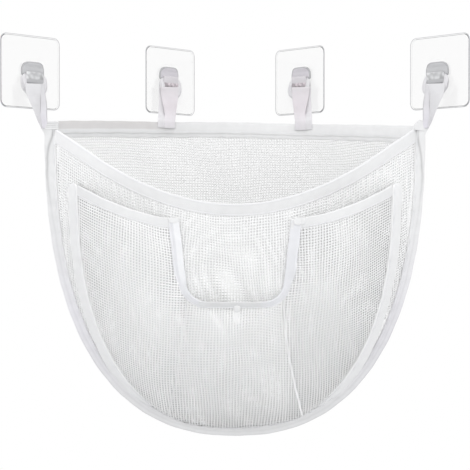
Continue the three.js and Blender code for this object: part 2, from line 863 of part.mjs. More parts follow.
// Where the strap's lower end is sewn, and which way its width lies there
function strapFoot(site) {
  if (site.outer) {
    const x = site.side * (bagHalfWidth - outerStrapInset);
    const across = new THREE.Vector3(-site.side * Math.cos(outerStrapTurn), Math.sin(outerStrapTurn), 0);
    return { across, low: new THREE.Vector3(x, seamTopDepth, cornerRise + seatGap), seat: 0 };
  }
  const x = site.side * innerStrapSpan;
  const z = backBandHeight(x) - strapOverlap;
  const lift = tapeThickness / 2 + ribbonThickness / 2 + seatGap;
  const near = raised(backPoint, x + site.side * ribbonWidth / 2, z, lift);
  const far = raised(backPoint, x - site.side * ribbonWidth / 2, z, lift);
  const across = far.clone().sub(near).normalize();
  return { across, low: near.add(far).multiplyScalar(0.5), seat: strapOverlap + 2 * seatGap };
}

// Ribbon stations from the bag up to the eye, turning on the way
function twistStations(site, upper) {
  const { across, low, seat } = strapFoot(site);
  const start = low.clone();
  start.z += seat;
  const stations = seat > 0 ? [{ centre: low, across, width: ribbonWidth }] : [];
  for (let i = 0; i < twistSteps; i += 1) {
    const share = i / twistSteps;
    const eased = THREE.MathUtils.smoothstep(share, 0, 1);
    const narrowed = THREE.MathUtils.smoothstep(share, twistFullShare, 1);
    const centre = start.clone().lerp(upper.centre, share ** strapLeanPower);
    centre.z = lerp(start.z, upper.centre.z, share);
    stations.push({
      centre,
      across: turned(across, upper.across, eased),
      width: lerp(ribbonWidth, upper.width, narrowed),
    });
  }
  return stations;
}

// A direction between two level directions, at a share of the turn
function turned(from, to, share) {
  const start = Math.atan2(from.y, from.x);
  const turn = Math.atan2(from.x * to.y - from.y * to.x, from.dot(to));
  return new THREE.Vector3(Math.cos(start + turn * share), Math.sin(start + turn * share), 0);
}

function ribbonGeometry(stations) {
  const centres = stations.map((station) => station.centre);
  const rings = stations.map(({ centre, across, width }, i) => {
    const side = across.clone().multiplyScalar(width / 2);
    const face = pathDirection(centres, i).cross(across).normalize().multiplyScalar(ribbonThickness / 2);
    return [
      centre.clone().add(side).add(face),
      centre.clone().sub(side).add(face),
      centre.clone().sub(side).sub(face),
      centre.clone().add(side).sub(face),
    ];
  });
  return barGeometry(rings);
}

function strap(site) {
  const eye = eyeStations(site);
  return mesh(`strap_${site.name}`, ribbonGeometry([...twistStations(site, eye[0]), ...eye]), ribbonFinish);
}

// Assembly

function meshBag() {
  const bag = new THREE.Group();
  const tapeEnd = bagHalfWidth - seamTapeWidth - 2 * seatGap;
  const backBand = lineTape(backBandHeight, -tapeEnd, tapeEnd, backBandWidth, backPoint, rimSteps);
  const rimTape = lineTape(frontRimHeight, -tapeEnd, tapeEnd, rimTapeWidth, frontPoint, rimSteps);
  bag.add(
    mesh('back_panel', hungPanel(backBandHeight, backBandWidth, backPoint), netFinish),
    mesh('back_band', backBand, tapeFinish),
    mesh('front_panel', hungPanel(frontRimHeight, rimTapeWidth, frontPoint), netFinish),
    mesh('front_rim_tape', rimTape, tapeFinish),
    mesh('seam_binding', seamBinding(), tapeFinish),
    mesh('middle_pocket_panel', middlePocketPanel(), netFinish),
    mesh('notch_binding', notchBinding(), tapeFinish),
    mesh('middle_seam_tape', middleSeam(), tapeFinish),
  );
  for (const [name, side] of [['left', -1], ['right', 1]]) {
    bag.add(
      mesh(`${name}_pocket_panel`, sidePocketPanel(side), netFinish),
      mesh(`${name}_pocket_rim`, pocketRim(side), tapeFinish),
      mesh(`${name}_pocket_piping`, pocketPiping(side), tapeFinish),
      mesh(`${name}_pocket_seam`, pocketSeam(side), tapeFinish),
    );
  }
  for (const site of sites) bag.add(strap(site));
  return bag;
}

const organizer = new THREE.Group();
for (const site of sites) organizer.add(wallHanger(site));
organizer.add(meshBag());
const middle = new THREE.Box3().setFromObject(organizer, true).getCenter(new THREE.Vector3());
organizer.position.sub(middle);

export default organizer;
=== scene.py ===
import math

import bpy
import numpy as np
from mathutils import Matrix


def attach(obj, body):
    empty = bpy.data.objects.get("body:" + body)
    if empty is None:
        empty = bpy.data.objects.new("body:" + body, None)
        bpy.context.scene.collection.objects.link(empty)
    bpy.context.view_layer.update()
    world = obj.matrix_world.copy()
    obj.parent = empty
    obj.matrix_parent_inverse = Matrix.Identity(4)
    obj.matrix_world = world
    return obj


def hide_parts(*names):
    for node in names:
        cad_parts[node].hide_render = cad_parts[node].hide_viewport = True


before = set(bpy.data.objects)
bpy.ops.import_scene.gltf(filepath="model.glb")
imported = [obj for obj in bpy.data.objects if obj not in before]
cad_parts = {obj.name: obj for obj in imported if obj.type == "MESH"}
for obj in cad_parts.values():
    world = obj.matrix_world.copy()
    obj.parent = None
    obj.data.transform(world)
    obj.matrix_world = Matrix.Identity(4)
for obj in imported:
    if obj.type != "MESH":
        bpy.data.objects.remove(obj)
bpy.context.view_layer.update()        # brings the parts' world matrices up to date

# Shapes are drawn in millimetres, with heights counted from the bag's two top
# corners and depths from the plane between the outer hooks; frameShift takes
# them into the imported frame.
frameShift = np.array([0.0, -37.9447, 91.25])

scene = bpy.context.scene
scene.view_settings.view_transform = "Standard"


# Camera: level with the top of the notch, and tipped down a little

cameraView = dict(place=(0.0, -1.1207, 0.01825), tipDown=0.8815, lens=99.57, sensor=36.0)

cameraData = bpy.data.cameras.new("camera")
cameraData.lens = cameraView["lens"]
cameraData.sensor_width = cameraView["sensor"]
cameraData.clip_start = 0.01
camera = bpy.data.objects.new("camera", cameraData)
camera.location = cameraView["place"]
camera.rotation_euler = (math.radians(90 - cameraView["tipDown"]), 0, 0)
scene.collection.objects.link(camera)
scene.camera = camera
print("camera set")


# Mesh helpers

def signedVolume(points, faces):
    # a sum of tetrahedra from the origin to each face's fan of triangles
    total = 0.0
    for block in faces:
        for k in range(1, block.shape[1] - 1):
            a, b, c = points[block[:, 0]], points[block[:, k]], points[block[:, k + 1]]
            total += np.einsum("ij,ij->", a, np.cross(b, c))
    return total


def closedPart(points, faces, uv):
    # a part with its faces turned over where its volume comes out negative
    flat = points.reshape(-1, 3)
    if signedVolume(flat, faces) < 0:
        faces = [block[:, ::-1] for block in faces]
    return dict(points=flat, faces=faces, uv=uv.reshape(-1, 2))


def tubes(points, uv):
    # tubes from points[tube, ring, side]: quads round and along, one flat face on each end
    count, rings, sides = points.shape[:3]
    tube = np.arange(count)[:, None, None] * rings * sides
    ring = np.arange(rings - 1)[None, :, None] * sides
    here = np.arange(sides)[None, None, :]
    a, b = tube + ring + here, tube + ring + (here + 1) % sides
    quads = np.stack([a, b, b + sides, a + sides], -1).reshape(-1, 4)
    first = (tube[:, 0] + np.arange(sides)[::-1]).reshape(-1, sides)
    last = (tube[:, 0] + (rings - 1) * sides + np.arange(sides)).reshape(-1, sides)
    return closedPart(points, [quads, np.concatenate([first, last])], uv)


def makePiece(name, parts, materials, body, replaced=()):
    # joins parts into one mesh; a part's finish is the material's number for each block
    # of faces or for each face in it, its tone makes points darker or lighter
    points = (np.concatenate([part["points"] for part in parts]) + frameShift) / 1000
    uv = np.concatenate([part["uv"] for part in parts])
    tone = np.concatenate([np.broadcast_to(part.get("tone", 1.0), part["points"].shape) for part in parts])
    corners, counts, finish, start = [], [], [], 0
    for part in parts:
        for block, kind in zip(part["faces"], part.get("finish", (0, 0))):
            corners.append((block + start).ravel())
            counts.append(np.full(len(block), block.shape[1]))
            finish.append(np.broadcast_to(kind, len(block)))
        start += len(part["points"])
    corners, counts, finish = (np.concatenate(x) for x in (corners, counts, finish))
    mesh = bpy.data.meshes.new(name)
    mesh.vertices.add(len(points))
    mesh.vertices.foreach_set("co", points.ravel())
    mesh.loops.add(len(corners))
    mesh.loops.foreach_set("vertex_index", corners)
    mesh.polygons.add(len(counts))
    mesh.polygons.foreach_set("loop_start", np.cumsum(counts) - counts)
    mesh.polygons.foreach_set("material_index", finish)
    mesh.polygons.foreach_set("use_smooth", counts == 4)
    mesh.uv_layers.new(name="cloth").data.foreach_set("uv", uv[corners].ravel())
    mesh.attributes.new("tone", "FLOAT_VECTOR", "POINT").data.foreach_set("vector", tone.ravel())
    mesh.update(calc_edges=True)
    mesh.validate()
    for material in materials:
        mesh.materials.append(material)
    piece = bpy.data.objects.new(name, mesh)
    scene.collection.objects.link(piece)
    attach(piece, body)
    if replaced:
        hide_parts(*replaced)
    return piece


def unit(vectors):
    return vectors / np.maximum(np.linalg.norm(vectors, axis=-1, keepdims=True), 1e-9)


def reachAlong(paths):
    # length along paths[.., point, axis] up to each of their points
    gaps = np.linalg.norm(np.diff(paths, axis=-2), axis=-1)
    return np.concatenate([np.zeros_like(gaps[..., :1]), np.cumsum(gaps, -1)], -1)


def evenly(path, step):
    # the same path with its points an even step apart
    reach = reachAlong(path)
    at = np.linspace(0, reach[-1], int(round(reach[-1] / step)) + 1)
    return np.stack([np.interp(at, reach, path[:, k]) for k in range(path.shape[1])], 1)


def smoothstep(x):
    x = np.clip(x, 0, 1)
    return x * x * (3 - 2 * x)


def hump(x, middle, width):
    # a bell curve, 1 at its middle
    return np.exp(-((x - middle) / width) ** 2)


def plateau(x, start, end, width):
    # 1 between two places, and 0 beyond them
    return smoothstep((x - start) / width) * (1 - smoothstep((x - end) / width))


def around(sides):
    # angles of a tube's sides
    return np.arange(sides) * 2 * math.pi / sides


def arc(centre, radius, start, end, count):
    # points round a circle, from one angle to another in degrees
    angle = np.radians(np.linspace(start, end, count))
    return np.stack([centre[0] + radius * np.cos(angle), centre[1] + radius * np.sin(angle)], 1)


# Materials: their nodes read the piece's own UV map, where 1 unit is about 1 mm

class Nodes:
    def __init__(self, name, color, roughness, **sockets):
        self.material = bpy.data.materials.new(name)
        self.material.use_nodes = True
        self.tree = self.material.node_tree
        self.shader = self.tree.nodes["Principled BSDF"]
        self.shader.inputs["Base Color"].default_value = (*color, 1)
        self.shader.inputs["Roughness"].default_value = roughness
        for socket, value in sockets.items():
            self.shader.inputs[socket.replace("_", " ")].default_value = value
        uvMap = self.tree.nodes.new("ShaderNodeUVMap")
        uvMap.uv_map = "cloth"
        self.uv = uvMap.outputs["UV"]

    def add(self, kind, inputs=(), **settings):
        node = self.tree.nodes.new("ShaderNode" + kind)
        for key, value in settings.items():
            setattr(node, key, value)
        for key, value in dict(inputs).items():
            if isinstance(value, bpy.types.NodeSocket):
                self.tree.links.new(value, node.inputs[key])
            else:
                node.inputs[key].default_value = value
        return node

    def link(self, out, socket):
        self.tree.links.new(out, self.shader.inputs[socket])

    def ribs(self, pitch, alongAxis):
        # rounded ribs that repeat along one axis of the UV map
        return self.add("TexWave", {"Vector": self.uv, "Scale": math.pi / 10 / pitch, "Distortion": 0.0},
                        wave_type="BANDS", bands_direction=alongAxis, wave_profile="SIN").outputs["Fac"]

    def math(self, operation, a, b):
        return self.add("Math", {0: a, 1: b}, operation=operation).outputs[0]

    def blend(self, a, shareOfA, b, shareOfB):
        return self.math("ADD", self.math("MULTIPLY", a, shareOfA), self.math("MULTIPLY", b, shareOfB))

    def noise(self, scale):
        return self.add("TexNoise", {"Vector": self.uv, "Scale": scale, "Detail": 3.0}).outputs["Fac"]

    def shade(self, factor, dark, light, toned=True):
        # base colour between two colours, times the mesh's tone
        node = self.add("Mix", {0: factor}, data_type="RGBA")
        node.inputs["A"].default_value = (*dark, 1)
        node.inputs["B"].default_value = (*light, 1)
        color = node.outputs["Result"]
        if toned:
            tone = self.add("Attribute", attribute_name="tone").outputs["Vector"]
            color = self.add("VectorMath", {0: color, 1: tone}, operation="MULTIPLY").outputs[0]
        self.link(color, "Base Color")

    def bump(self, height, strength, distance):
        node = self.add("Bump", {"Height": height, "Strength": strength, "Distance": distance})
        self.link(node.outputs["Normal"], "Normal")


def clothMaterial(name, dark, light, values):
    nodes = Nodes(name, light, values["roughness"], Sheen_Weight=values["sheen"],
                  Sheen_Roughness=0.5, Specular_IOR_Level=0.25)
    weave = nodes.math("MULTIPLY", nodes.ribs(values["warp"], "Y"), nodes.ribs(values["weft"], "X"))
    nodes.shade(nodes.blend(weave, 0.35, nodes.noise(values["mottle"]), 0.8), dark, light)
    nodes.bump(weave, values["relief"], 0.0002)
    return nodes.material


tapeLook = dict(roughness=0.72, sheen=0.15, warp=0.42, weft=0.5, mottle=0.12, relief=0.5)
ribbonLook = dict(roughness=0.66, sheen=0.2, warp=0.35, weft=0.95, mottle=0.15, relief=0.7)
tapeCloth = clothMaterial("tapeCloth", (0.742, 0.74, 0.736), (0.848, 0.845, 0.841), tapeLook)
notchCloth = clothMaterial("notchCloth", (0.69, 0.69, 0.705), (0.80, 0.80, 0.82), tapeLook)
ribbonCloth = clothMaterial("ribbonCloth", (0.70, 0.69, 0.70), (0.81, 0.795, 0.81), ribbonLook)


def threadMaterial(name, dark, light, twist):
    nodes = Nodes(name, light, 0.6, Sheen_Weight=0.1, Sheen_Roughness=0.4, Specular_IOR_Level=0.3)
    yarn = nodes.ribs(twist, "X")
    nodes.shade(nodes.blend(yarn, 0.4, nodes.noise(0.3), 0.6), dark, light)
    nodes.bump(yarn, 0.4, 0.0001)
    return nodes.material


netThread = threadMaterial("netThread", (0.868, 0.865, 0.858), (0.968, 0.965, 0.958), 0.8)
sewingThread = threadMaterial("sewingThread", (0.78, 0.78, 0.80), (0.90, 0.90, 0.91), 0.4)
print("cloth materials made")


# Surfaces of the bag

bag = dict(
    halfWidth=158.0, drop=263.0, dropPower=2.62, widthPower=2.335, netHalfWidth=150.0, netDrop=255.0,
    seamTop=-2.0, seamBottom=36.0, seamPower=1.5, bulge=52.0, bulgePower=0.8, layerGap=0.6,
    backDepth=105.0, backSpread=1.12, backRound=8.0, backClose=2.2,
)
rim = dict(rise=68.0, drop=64.0, power=1.95, width=10.0, straight=120.0, slope=0.65)
band = dict(line=(0.41, 0.29, -8.82, -2.39, 11.5), width=14.2)
pocket = dict(
    halfWidth=135.5, top=57.5, shoulder=11.0, dropPower=2.39, piping=8.4, rimWidth=8.0, rimDrop=75.7,
    rimRise=27.5, rimPower=1.6, bulge=16.0, bulgePower=0.8, standOff=1.8, footDrop=247.0,
    pipingFoot=244.0, pipingPast=6.5, sink=2.4, sinkDrop=200.0, sinkReach=34.0, cornerTop=74.4,
)
notch = dict(
    halfTop=44.5, halfBottom=39.3, bottom=142.2, radius=16.0, width=5.1,
    widths=((-142.2, -137.7, -132, -126.4, -119, -76), (4.9, 5.1, 5.8, 7.2, 8.6, 8.7)),
    middleBulge=12.0, seamWidth=1.8, seamSpread=24.0, seamPower=1.6,
)
pocketMouth = pocket["halfWidth"] - pocket["piping"]
cornerDrop = notch["bottom"] - notch["radius"]          # where the notch's round corners begin
cornerHalf = notch["halfBottom"] - notch["radius"]


def seamDepth(z):
    down = np.clip(-z / bag["drop"], 0, 1)
    return bag["seamTop"] + (bag["seamBottom"] - bag["seamTop"]) * down ** bag["seamPower"]


def netDown(z):
    return np.clip(-z / bag["netDrop"], 0, 1)


def netHalf(z):
    # half width of the nets at a height, on a rounded outline
    return bag["netHalfWidth"] * (1 - netDown(z) ** bag["dropPower"]) ** (1 / bag["widthPower"])


def netFoot(x):
    # height of the nets' lower edge at a place across
    across = np.clip(np.abs(x) / bag["netHalfWidth"], 0, 1)
    return -bag["netDrop"] * (1 - across ** bag["widthPower"]) ** (1 / bag["dropPower"])


def front(x, z):
    # the front bulges out by a power of how far a place lies inside the seam
    across = np.abs(x) / bag["netHalfWidth"]
    inside = np.clip(1 - across ** bag["widthPower"] - netDown(z) ** bag["dropPower"], 0, 1)
    depth = seamDepth(z) - bag["bulge"] * inside ** bag["bulgePower"] - bag["layerGap"]
    return np.stack(np.broadcast_arrays(x, depth, z), -1)


def back(x, z):
    # the back runs along both walls, rounds off across the corner and closes at the foot
    across = np.clip(np.abs(x) / np.maximum(netHalf(z), 0.3), 0, 1)
    wall = bag["backSpread"] * bag["netHalfWidth"] * (1 - across)
    power = bag["backRound"]
    reach = wall * bag["backDepth"] / (wall ** power + bag["backDepth"] ** power) ** (1 / power)
    depth = seamDepth(z) + reach * (1 - netDown(z) ** bag["backClose"]) + bag["layerGap"]
    return np.stack(np.broadcast_arrays(x, depth, z), -1)


def normalOf(surface, x, z, step=0.4):
    # square to the surface, towards the room
    alongX = surface(x + step, z) - surface(x - step, z)
    alongZ = surface(x, z + step) - surface(x, z - step)
    return unit(np.cross(alongX, alongZ))


def raised(surface, x, z, distance):
    return surface(x, z) + normalOf(surface, x, z) * distance


def below(line, x, distance, step=0.2):
    # a line moved down by a distance that is measured square to it
    slope = (line(x + step) - line(x - step)) / (2 * step)
    return line(x) - distance * np.hypot(1, slope)


def rimLine(x):
    # a scooped line that runs on straight near its two ends
    far = np.minimum(np.abs(x), rim["straight"])
    curve = rim["rise"] * (far / bag["netHalfWidth"]) ** rim["power"] - rim["drop"]
    return curve + rim["slope"] * (np.abs(x) - far)


def bandLine(x):
    # the bag hangs a little lower on its right
    return np.polyval(band["line"], x / bag["netHalfWidth"])


def pocketRimLine(x):
    share = np.clip((np.abs(x) - notch["halfTop"]) / (pocketMouth - notch["halfTop"]), 0, 1)
    return pocket["rimRise"] * share ** pocket["rimPower"] - pocket["rimDrop"]


def pocketOutline(z):
    down = np.clip((-pocket["top"] - z) / (bag["drop"] - pocket["top"]), 0, 1)
    return pocket["halfWidth"] * (1 - down ** pocket["dropPower"]) ** (1 / bag["widthPower"])


def notchHalf(z):
    share = (-pocket["rimDrop"] - z) / (cornerDrop - pocket["rimDrop"])
    return notch["halfTop"] + (notch["halfBottom"] - notch["halfTop"]) * np.clip(share, 0, 1)


def notchOuterHalf(z):
    # outer edge of the notch tape, beside the notch and round its corners
    under = -z - cornerDrop
    reach = notch["radius"] + notch["width"]
    corner = cornerHalf + np.sqrt(np.maximum(reach ** 2 - under ** 2, 0))
    return np.where(under <= 0, notchHalf(z) + np.interp(z, *notch["widths"]), corner)


def notchFoot(x):
    # outer edge of the notch tape, under the notch and round its corners
    beyond = np.maximum(np.abs(x) - cornerHalf, 0)
    reach = notch["radius"] + notch["width"]
    return -cornerDrop - np.sqrt(np.maximum(reach ** 2 - beyond ** 2, 0))


def pocketSeam(z):
    down = np.clip((-notch["bottom"] - z) / (bag["drop"] - notch["bottom"]), 0, 1)
    return notch["halfBottom"] + notch["seamSpread"] * down ** notch["seamPower"]


def pocketInner(z):
    return np.maximum(notchOuterHalf(z), pocketSeam(z) + notch["seamWidth"] / 2)


def pipingInner(z):
    return below(pocketOutline, z, pocket["piping"])


def pocketOuter(z):
    return np.minimum(pipingInner(z), netHalf(z))


def pocketOpen(z):
    return 1 - np.clip(-z / bag["drop"], 0, 1) ** bag["dropPower"]


def besidePocket(x, z):
    return raised(front, x, z, pocket["standOff"])


def sidePocket(x, z):
    # swells out between its inner and outer edge
    inner, outer = pocketInner(z), pocketOuter(z)
    share = np.clip((np.abs(x) - inner) / np.maximum(outer - inner, 0.3), 0, 1)
    points = besidePocket(x, z)
    points[..., 1] -= pocket["bulge"] * pocketOpen(z) * (4 * share * (1 - share)) ** pocket["bulgePower"]
    return points


def middlePocket(x, z):
    share = np.clip(np.abs(x) / np.maximum(pocketSeam(z), notch["halfBottom"]), 0, 1)
    points = besidePocket(x, z)
    points[..., 1] -= notch["middleBulge"] * pocketOpen(z) * (1 - share ** 2) ** pocket["bulgePower"]
    return points


# Nets: threads up and down and threads across, on one surface

net = dict(
    pitch=2.27, backPitch=2.36, middlePitch=2.38, frontHalf=0.54, backHalf=0.60, pocketHalf=0.56,
    halfHeight=0.34, cross=0.07, tuck=1.4, wander=0.8, backDrift=1.9, reach=149.9, edge=149.6,
    rimLean=0.85, foot=-254.9, spacingSteps=4000, runSteps=1200,
)
# painted light and shade on the nets' threads: tones that make them greyer or lighter
netPaintedShading = dict(
    front=1.02, behind=0.85, middle=0.93, middleHalf=45.0, edgeReach=34.0, edgeShade=0.16,
    inside=0.88, rimBlend=14.0, pocket=1.06, rightPocket=1.0,
    low=((-254, -246, -235, -205, -160), (0.74, 0.83, 0.91, 0.96, 1.0)),
)


def wander(x, z, seed):
    # a slow, smooth drift that no real net is free of
    return net["wander"] * (
        np.sin(x / 17.0 + z / 29.0 + seed) + np.sin(x / 43.0 - z / 19.0 + 2.3 * seed)
        + 0.6 * np.sin(x / 9.0 + z / 11.0 + 4.1 * seed)
    )


def spaced(line, start, end, pitch):
    # places along a line that lie a pitch apart on it
    fine = np.linspace(start, end, net["spacingSteps"])
    reach = reachAlong(line(fine))
    return np.interp(np.arange(pitch / 2, reach[-1], pitch), reach, fine)


def runEnds(allowed, places):
    # first and last allowed place of each row, and whether the row has enough of them
    first = allowed.argmax(1)
    last = allowed.shape[1] - 1 - allowed[:, ::-1].argmax(1)
    keep = allowed.any(1) & (np.abs(places[last] - places[first]) > net["pitch"])
    return places[first], places[last], keep


def lowTone(z):
    # the nets are greyer low down, where they hang in their own shade
    return np.interp(z, *netPaintedShading["low"])


def frontPaintedShade(x, z):
    # painted shade: the front net is greyer where the pockets lie over it, most of all beside their piping
    far = np.abs(x)
    covered = (z < pocketRimLine(x)) & (far > notchHalf(z)) | (z < -notch["bottom"])
    over = covered & (far < pocketOuter(z))
    middle = (z < -notch["bottom"]) & (far < netPaintedShading["middleHalf"])
    besidePiping = smoothstep((far - pocketOuter(z)) / netPaintedShading["edgeReach"] + 1)
    shade = np.where(middle, netPaintedShading["middle"], netPaintedShading["behind"] - netPaintedShading["edgeShade"] * besidePiping)
    return np.where(over, shade, netPaintedShading["front"]) * lowTone(z)


def belowRim(x, z):
    return 1 - smoothstep((z - rimLine(x)) / netPaintedShading["rimBlend"] + 0.8)


def backPaintedShade(x, z):
    # painted shade: the back net is greyer below the front's rim, inside the bag
    return 1 - (1 - netPaintedShading["inside"]) * belowRim(x, z)


# painted light: the pocket nets' threads are lighter than the layers behind them, except right of the middle;
# low down they take the nets' painted shade
def pocketPaintedLight(x, z):
    return np.where(x > netPaintedShading["middleHalf"], netPaintedShading["rightPocket"], netPaintedShading["pocket"]) * lowTone(z)


threadKinds = {front: (net["frontHalf"], frontPaintedShade), back: (net["backHalf"], backPaintedShade)}


def threadPart(surface, x, z, side, seed):
    # four-sided threads through points x, z [thread, point], a little to one side
    half, toneAt = threadKinds.get(surface, (net["pocketHalf"], pocketPaintedLight))
    drift = 1 + (net["backDrift"] - 1) * belowRim(x, z) if surface is back else 1.0
    x, z = x + drift * wander(x, z, seed), z + drift * wander(x, z, seed + 1.7)
    normal = normalOf(surface, x, z)
    centre = surface(x, z) + normal * side * net["cross"]
    across = unit(np.cross(unit(np.gradient(centre, axis=1)), normal))
    ring = np.stack([centre + across * half, centre + normal * net["halfHeight"],
                     centre - across * half, centre - normal * net["halfHeight"]], 2)
    u = np.broadcast_to(reachAlong(centre)[:, :, None], ring.shape[:3])
    v = np.broadcast_to(np.array([0.0, 0.7, 1.4, 0.7]), ring.shape[:3])
    return dict(tubes(ring, np.stack([u, v], -1)), tone=np.repeat(toneAt(x, z), 4).reshape(-1, 1))


def eased(count):
    # shares from 0 to 1 that lie closer together near both ends
    return 0.5 - 0.5 * np.cos(np.linspace(0, math.pi, count))


def uprights(surface, inside, xs, top, foot, points, seed):
    fine = np.linspace(top, foot, net["runSteps"])
    start, end, keep = runEnds(inside(xs[:, None], fine[None, :]), fine)
    z = start[keep, None] + (end - start)[keep, None] * eased(points)
    return threadPart(surface, np.broadcast_to(xs[keep, None], z.shape), z, 1, seed)


def crossings(surface, inside, levels, left, right, points, seed, lean=np.zeros_like, ceiling=None):
    # lean is how much higher a thread runs at a place than at its own level; none rises over the ceiling
    fine = np.linspace(left, right, net["runSteps"])
    start, end, keep = runEnds(inside(fine[None, :], levels[:, None] + lean(fine)[None, :]), fine)
    x = start[keep, None] + (end - start)[keep, None] * eased(points)
    z = levels[keep, None] + lean(x)
    return threadPart(surface, x, z if ceiling is None else np.minimum(z, ceiling(x)), -1, seed)


def insideNet(x, z, line, width):
    return (z < below(line, x, width - net["tuck"])) & (z > netFoot(x)) & (np.abs(x) < net["edge"])


def insideFront(x, z):
    return insideNet(x, z, rimLine, rim["width"])


def insideBack(x, z):
    return insideNet(x, z, bandLine, band["width"])


def insideSide(x, z):
    rimEdge = below(pocketRimLine, x, pocket["rimWidth"] - net["tuck"])
    far = np.abs(x)
    return (z < rimEdge) & (z > -pocket["footDrop"]) & (far > pocketInner(z) - net["tuck"]) & (
        far < pocketOuter(z) + net["tuck"])


def insideMiddle(x, z):
    return (z < notchFoot(x) + net["tuck"]) & (z > netFoot(x)) & (
        np.abs(x) < pocketSeam(z) + net["tuck"] - notch["seamWidth"] / 2)


def makeNet(name, parts, replaced):
    return makePiece(name, parts, [netThread], "bag", [replaced])


def rimLean(x):
    # the weft nearly follows the scooped rim
    return net["rimLean"] * (rimLine(x) - rimLine(0.0))


reach, netEnd = net["reach"], bag["netHalfWidth"]
frontX = spaced(lambda x: front(x, -100.0), -reach, reach, net["pitch"])
frontZ = spaced(lambda z: front(0.0, z), 0.0, net["foot"], net["pitch"])
scoop = rimLine(0.0) - rim["width"]
upper, lower = frontZ[frontZ > scoop], frontZ[frontZ <= scoop]
frontNet = makeNet("front_net", [
    uprights(front, insideFront, frontX, 0.0, -bag["netDrop"], 40, 0.0),
    crossings(front, insideFront, upper, -netEnd, 0.0, 22, 0.0, rimLean),
    crossings(front, insideFront, upper, 0.0, netEnd, 22, 0.0, rimLean),
    crossings(front, insideFront, lower, -netEnd, netEnd, 48, 0.0, rimLean),
], "front_panel")

backX = spaced(lambda x: back(x, -10.0), -reach, reach, net["backPitch"])
backZ = spaced(lambda z: back(0.0, z), 0.0, net["foot"], net["backPitch"])
backNet = makeNet("back_net", [
    uprights(back, insideBack, backX, 5.0, -bag["netDrop"], 40, 5.0),
    crossings(back, insideBack, backZ, -netEnd, netEnd, 64, 5.0),
], "back_panel")

pocketX = spaced(lambda x: front(x, -150.0), 38.0, 135.0, net["pitch"])
pocketZ = spaced(lambda z: front(50.0, z), -78.0, -262.0, net["pitch"])
for side, sideName, seed in ((-1, "left", 9.0), (1, "right", 14.0)):
    makeNet(f"{sideName}_pocket_net", [
        uprights(sidePocket, insideSide, side * pocketX, -50.0, -250.0, 30, seed),
        crossings(sidePocket, insideSide, pocketZ, *sorted((side * 38.0, side * 136.0)), 20, seed,
                  lambda x: pocketRimLine(x) + pocket["rimDrop"]),
    ], f"{sideName}_pocket_panel")

middleX = spaced(lambda x: front(x, -200.0), -66.0, 66.0, net["middlePitch"])
middleZ = spaced(lambda z: front(0.0, z), -132.0, -260.0, net["middlePitch"])
pleat = np.array([-0.6, 0.8, 2.3, 3.8])        # drawn-together threads under the knob
middleNet = makeNet("middle_pocket_net", [
    uprights(middlePocket, insideMiddle, middleX, -138.0, -bag["netDrop"], 24, 20.0),
    uprights(middlePocket, insideMiddle, pleat, -143.0, -158.0, 10, 21.0),
    crossings(middlePocket, insideMiddle, middleZ, -66.0, 66.0, 26, 20.0,
              lambda x: 2.4 * np.sin(x / 19 + 0.6) + 1.1 * np.sin(x / 8.3),
              lambda x: notchFoot(x) - net["tuck"]),
], "middle_pocket_panel")
print("nets made")


# Tapes: a flattened tube between two edges, with thick selvedges, a sewn
# groove and a slight pucker

def level(value):
    # the same value from one end to the other
    return ((0, 1), (value, value))


plainTape = dict(   # a tape's values unless its own say otherwise
    sides=32, ends=(0, 0), taper=(0, 0), selvedge=0.22, pucker=0.25, waver=0.12, sewn=(), look=None,
    # painted highlight along both selvedges; the groove values below paint shade into each groove, deeper
    # near the tape's ends
    tones=((0, 0.09, 0.14, 0.86, 0.91, 1), (1.03, 1.03, 0.97, 0.97, 1.03, 1.03)), along=level(1),
    edges=(0.08, 0.92), edgeWidth=0.05, edgePower=0.4, grooves=(), groove=0.035, grooveDepth=0.4,
    grooveAlong=level(1), grooveShade=0.24, endShade=0.0, endReach=18.0,
)
tapeStep = 1.2
stitch = dict(length=2.0, width=0.42, height=0.26, pitch=2.8, droop=0.16, dip=0.25, dipWidth=0.05)


def towardsRoom(along, across):
    up = unit(np.cross(along, across))
    return -up if up[:, 1].mean() > 0 else up


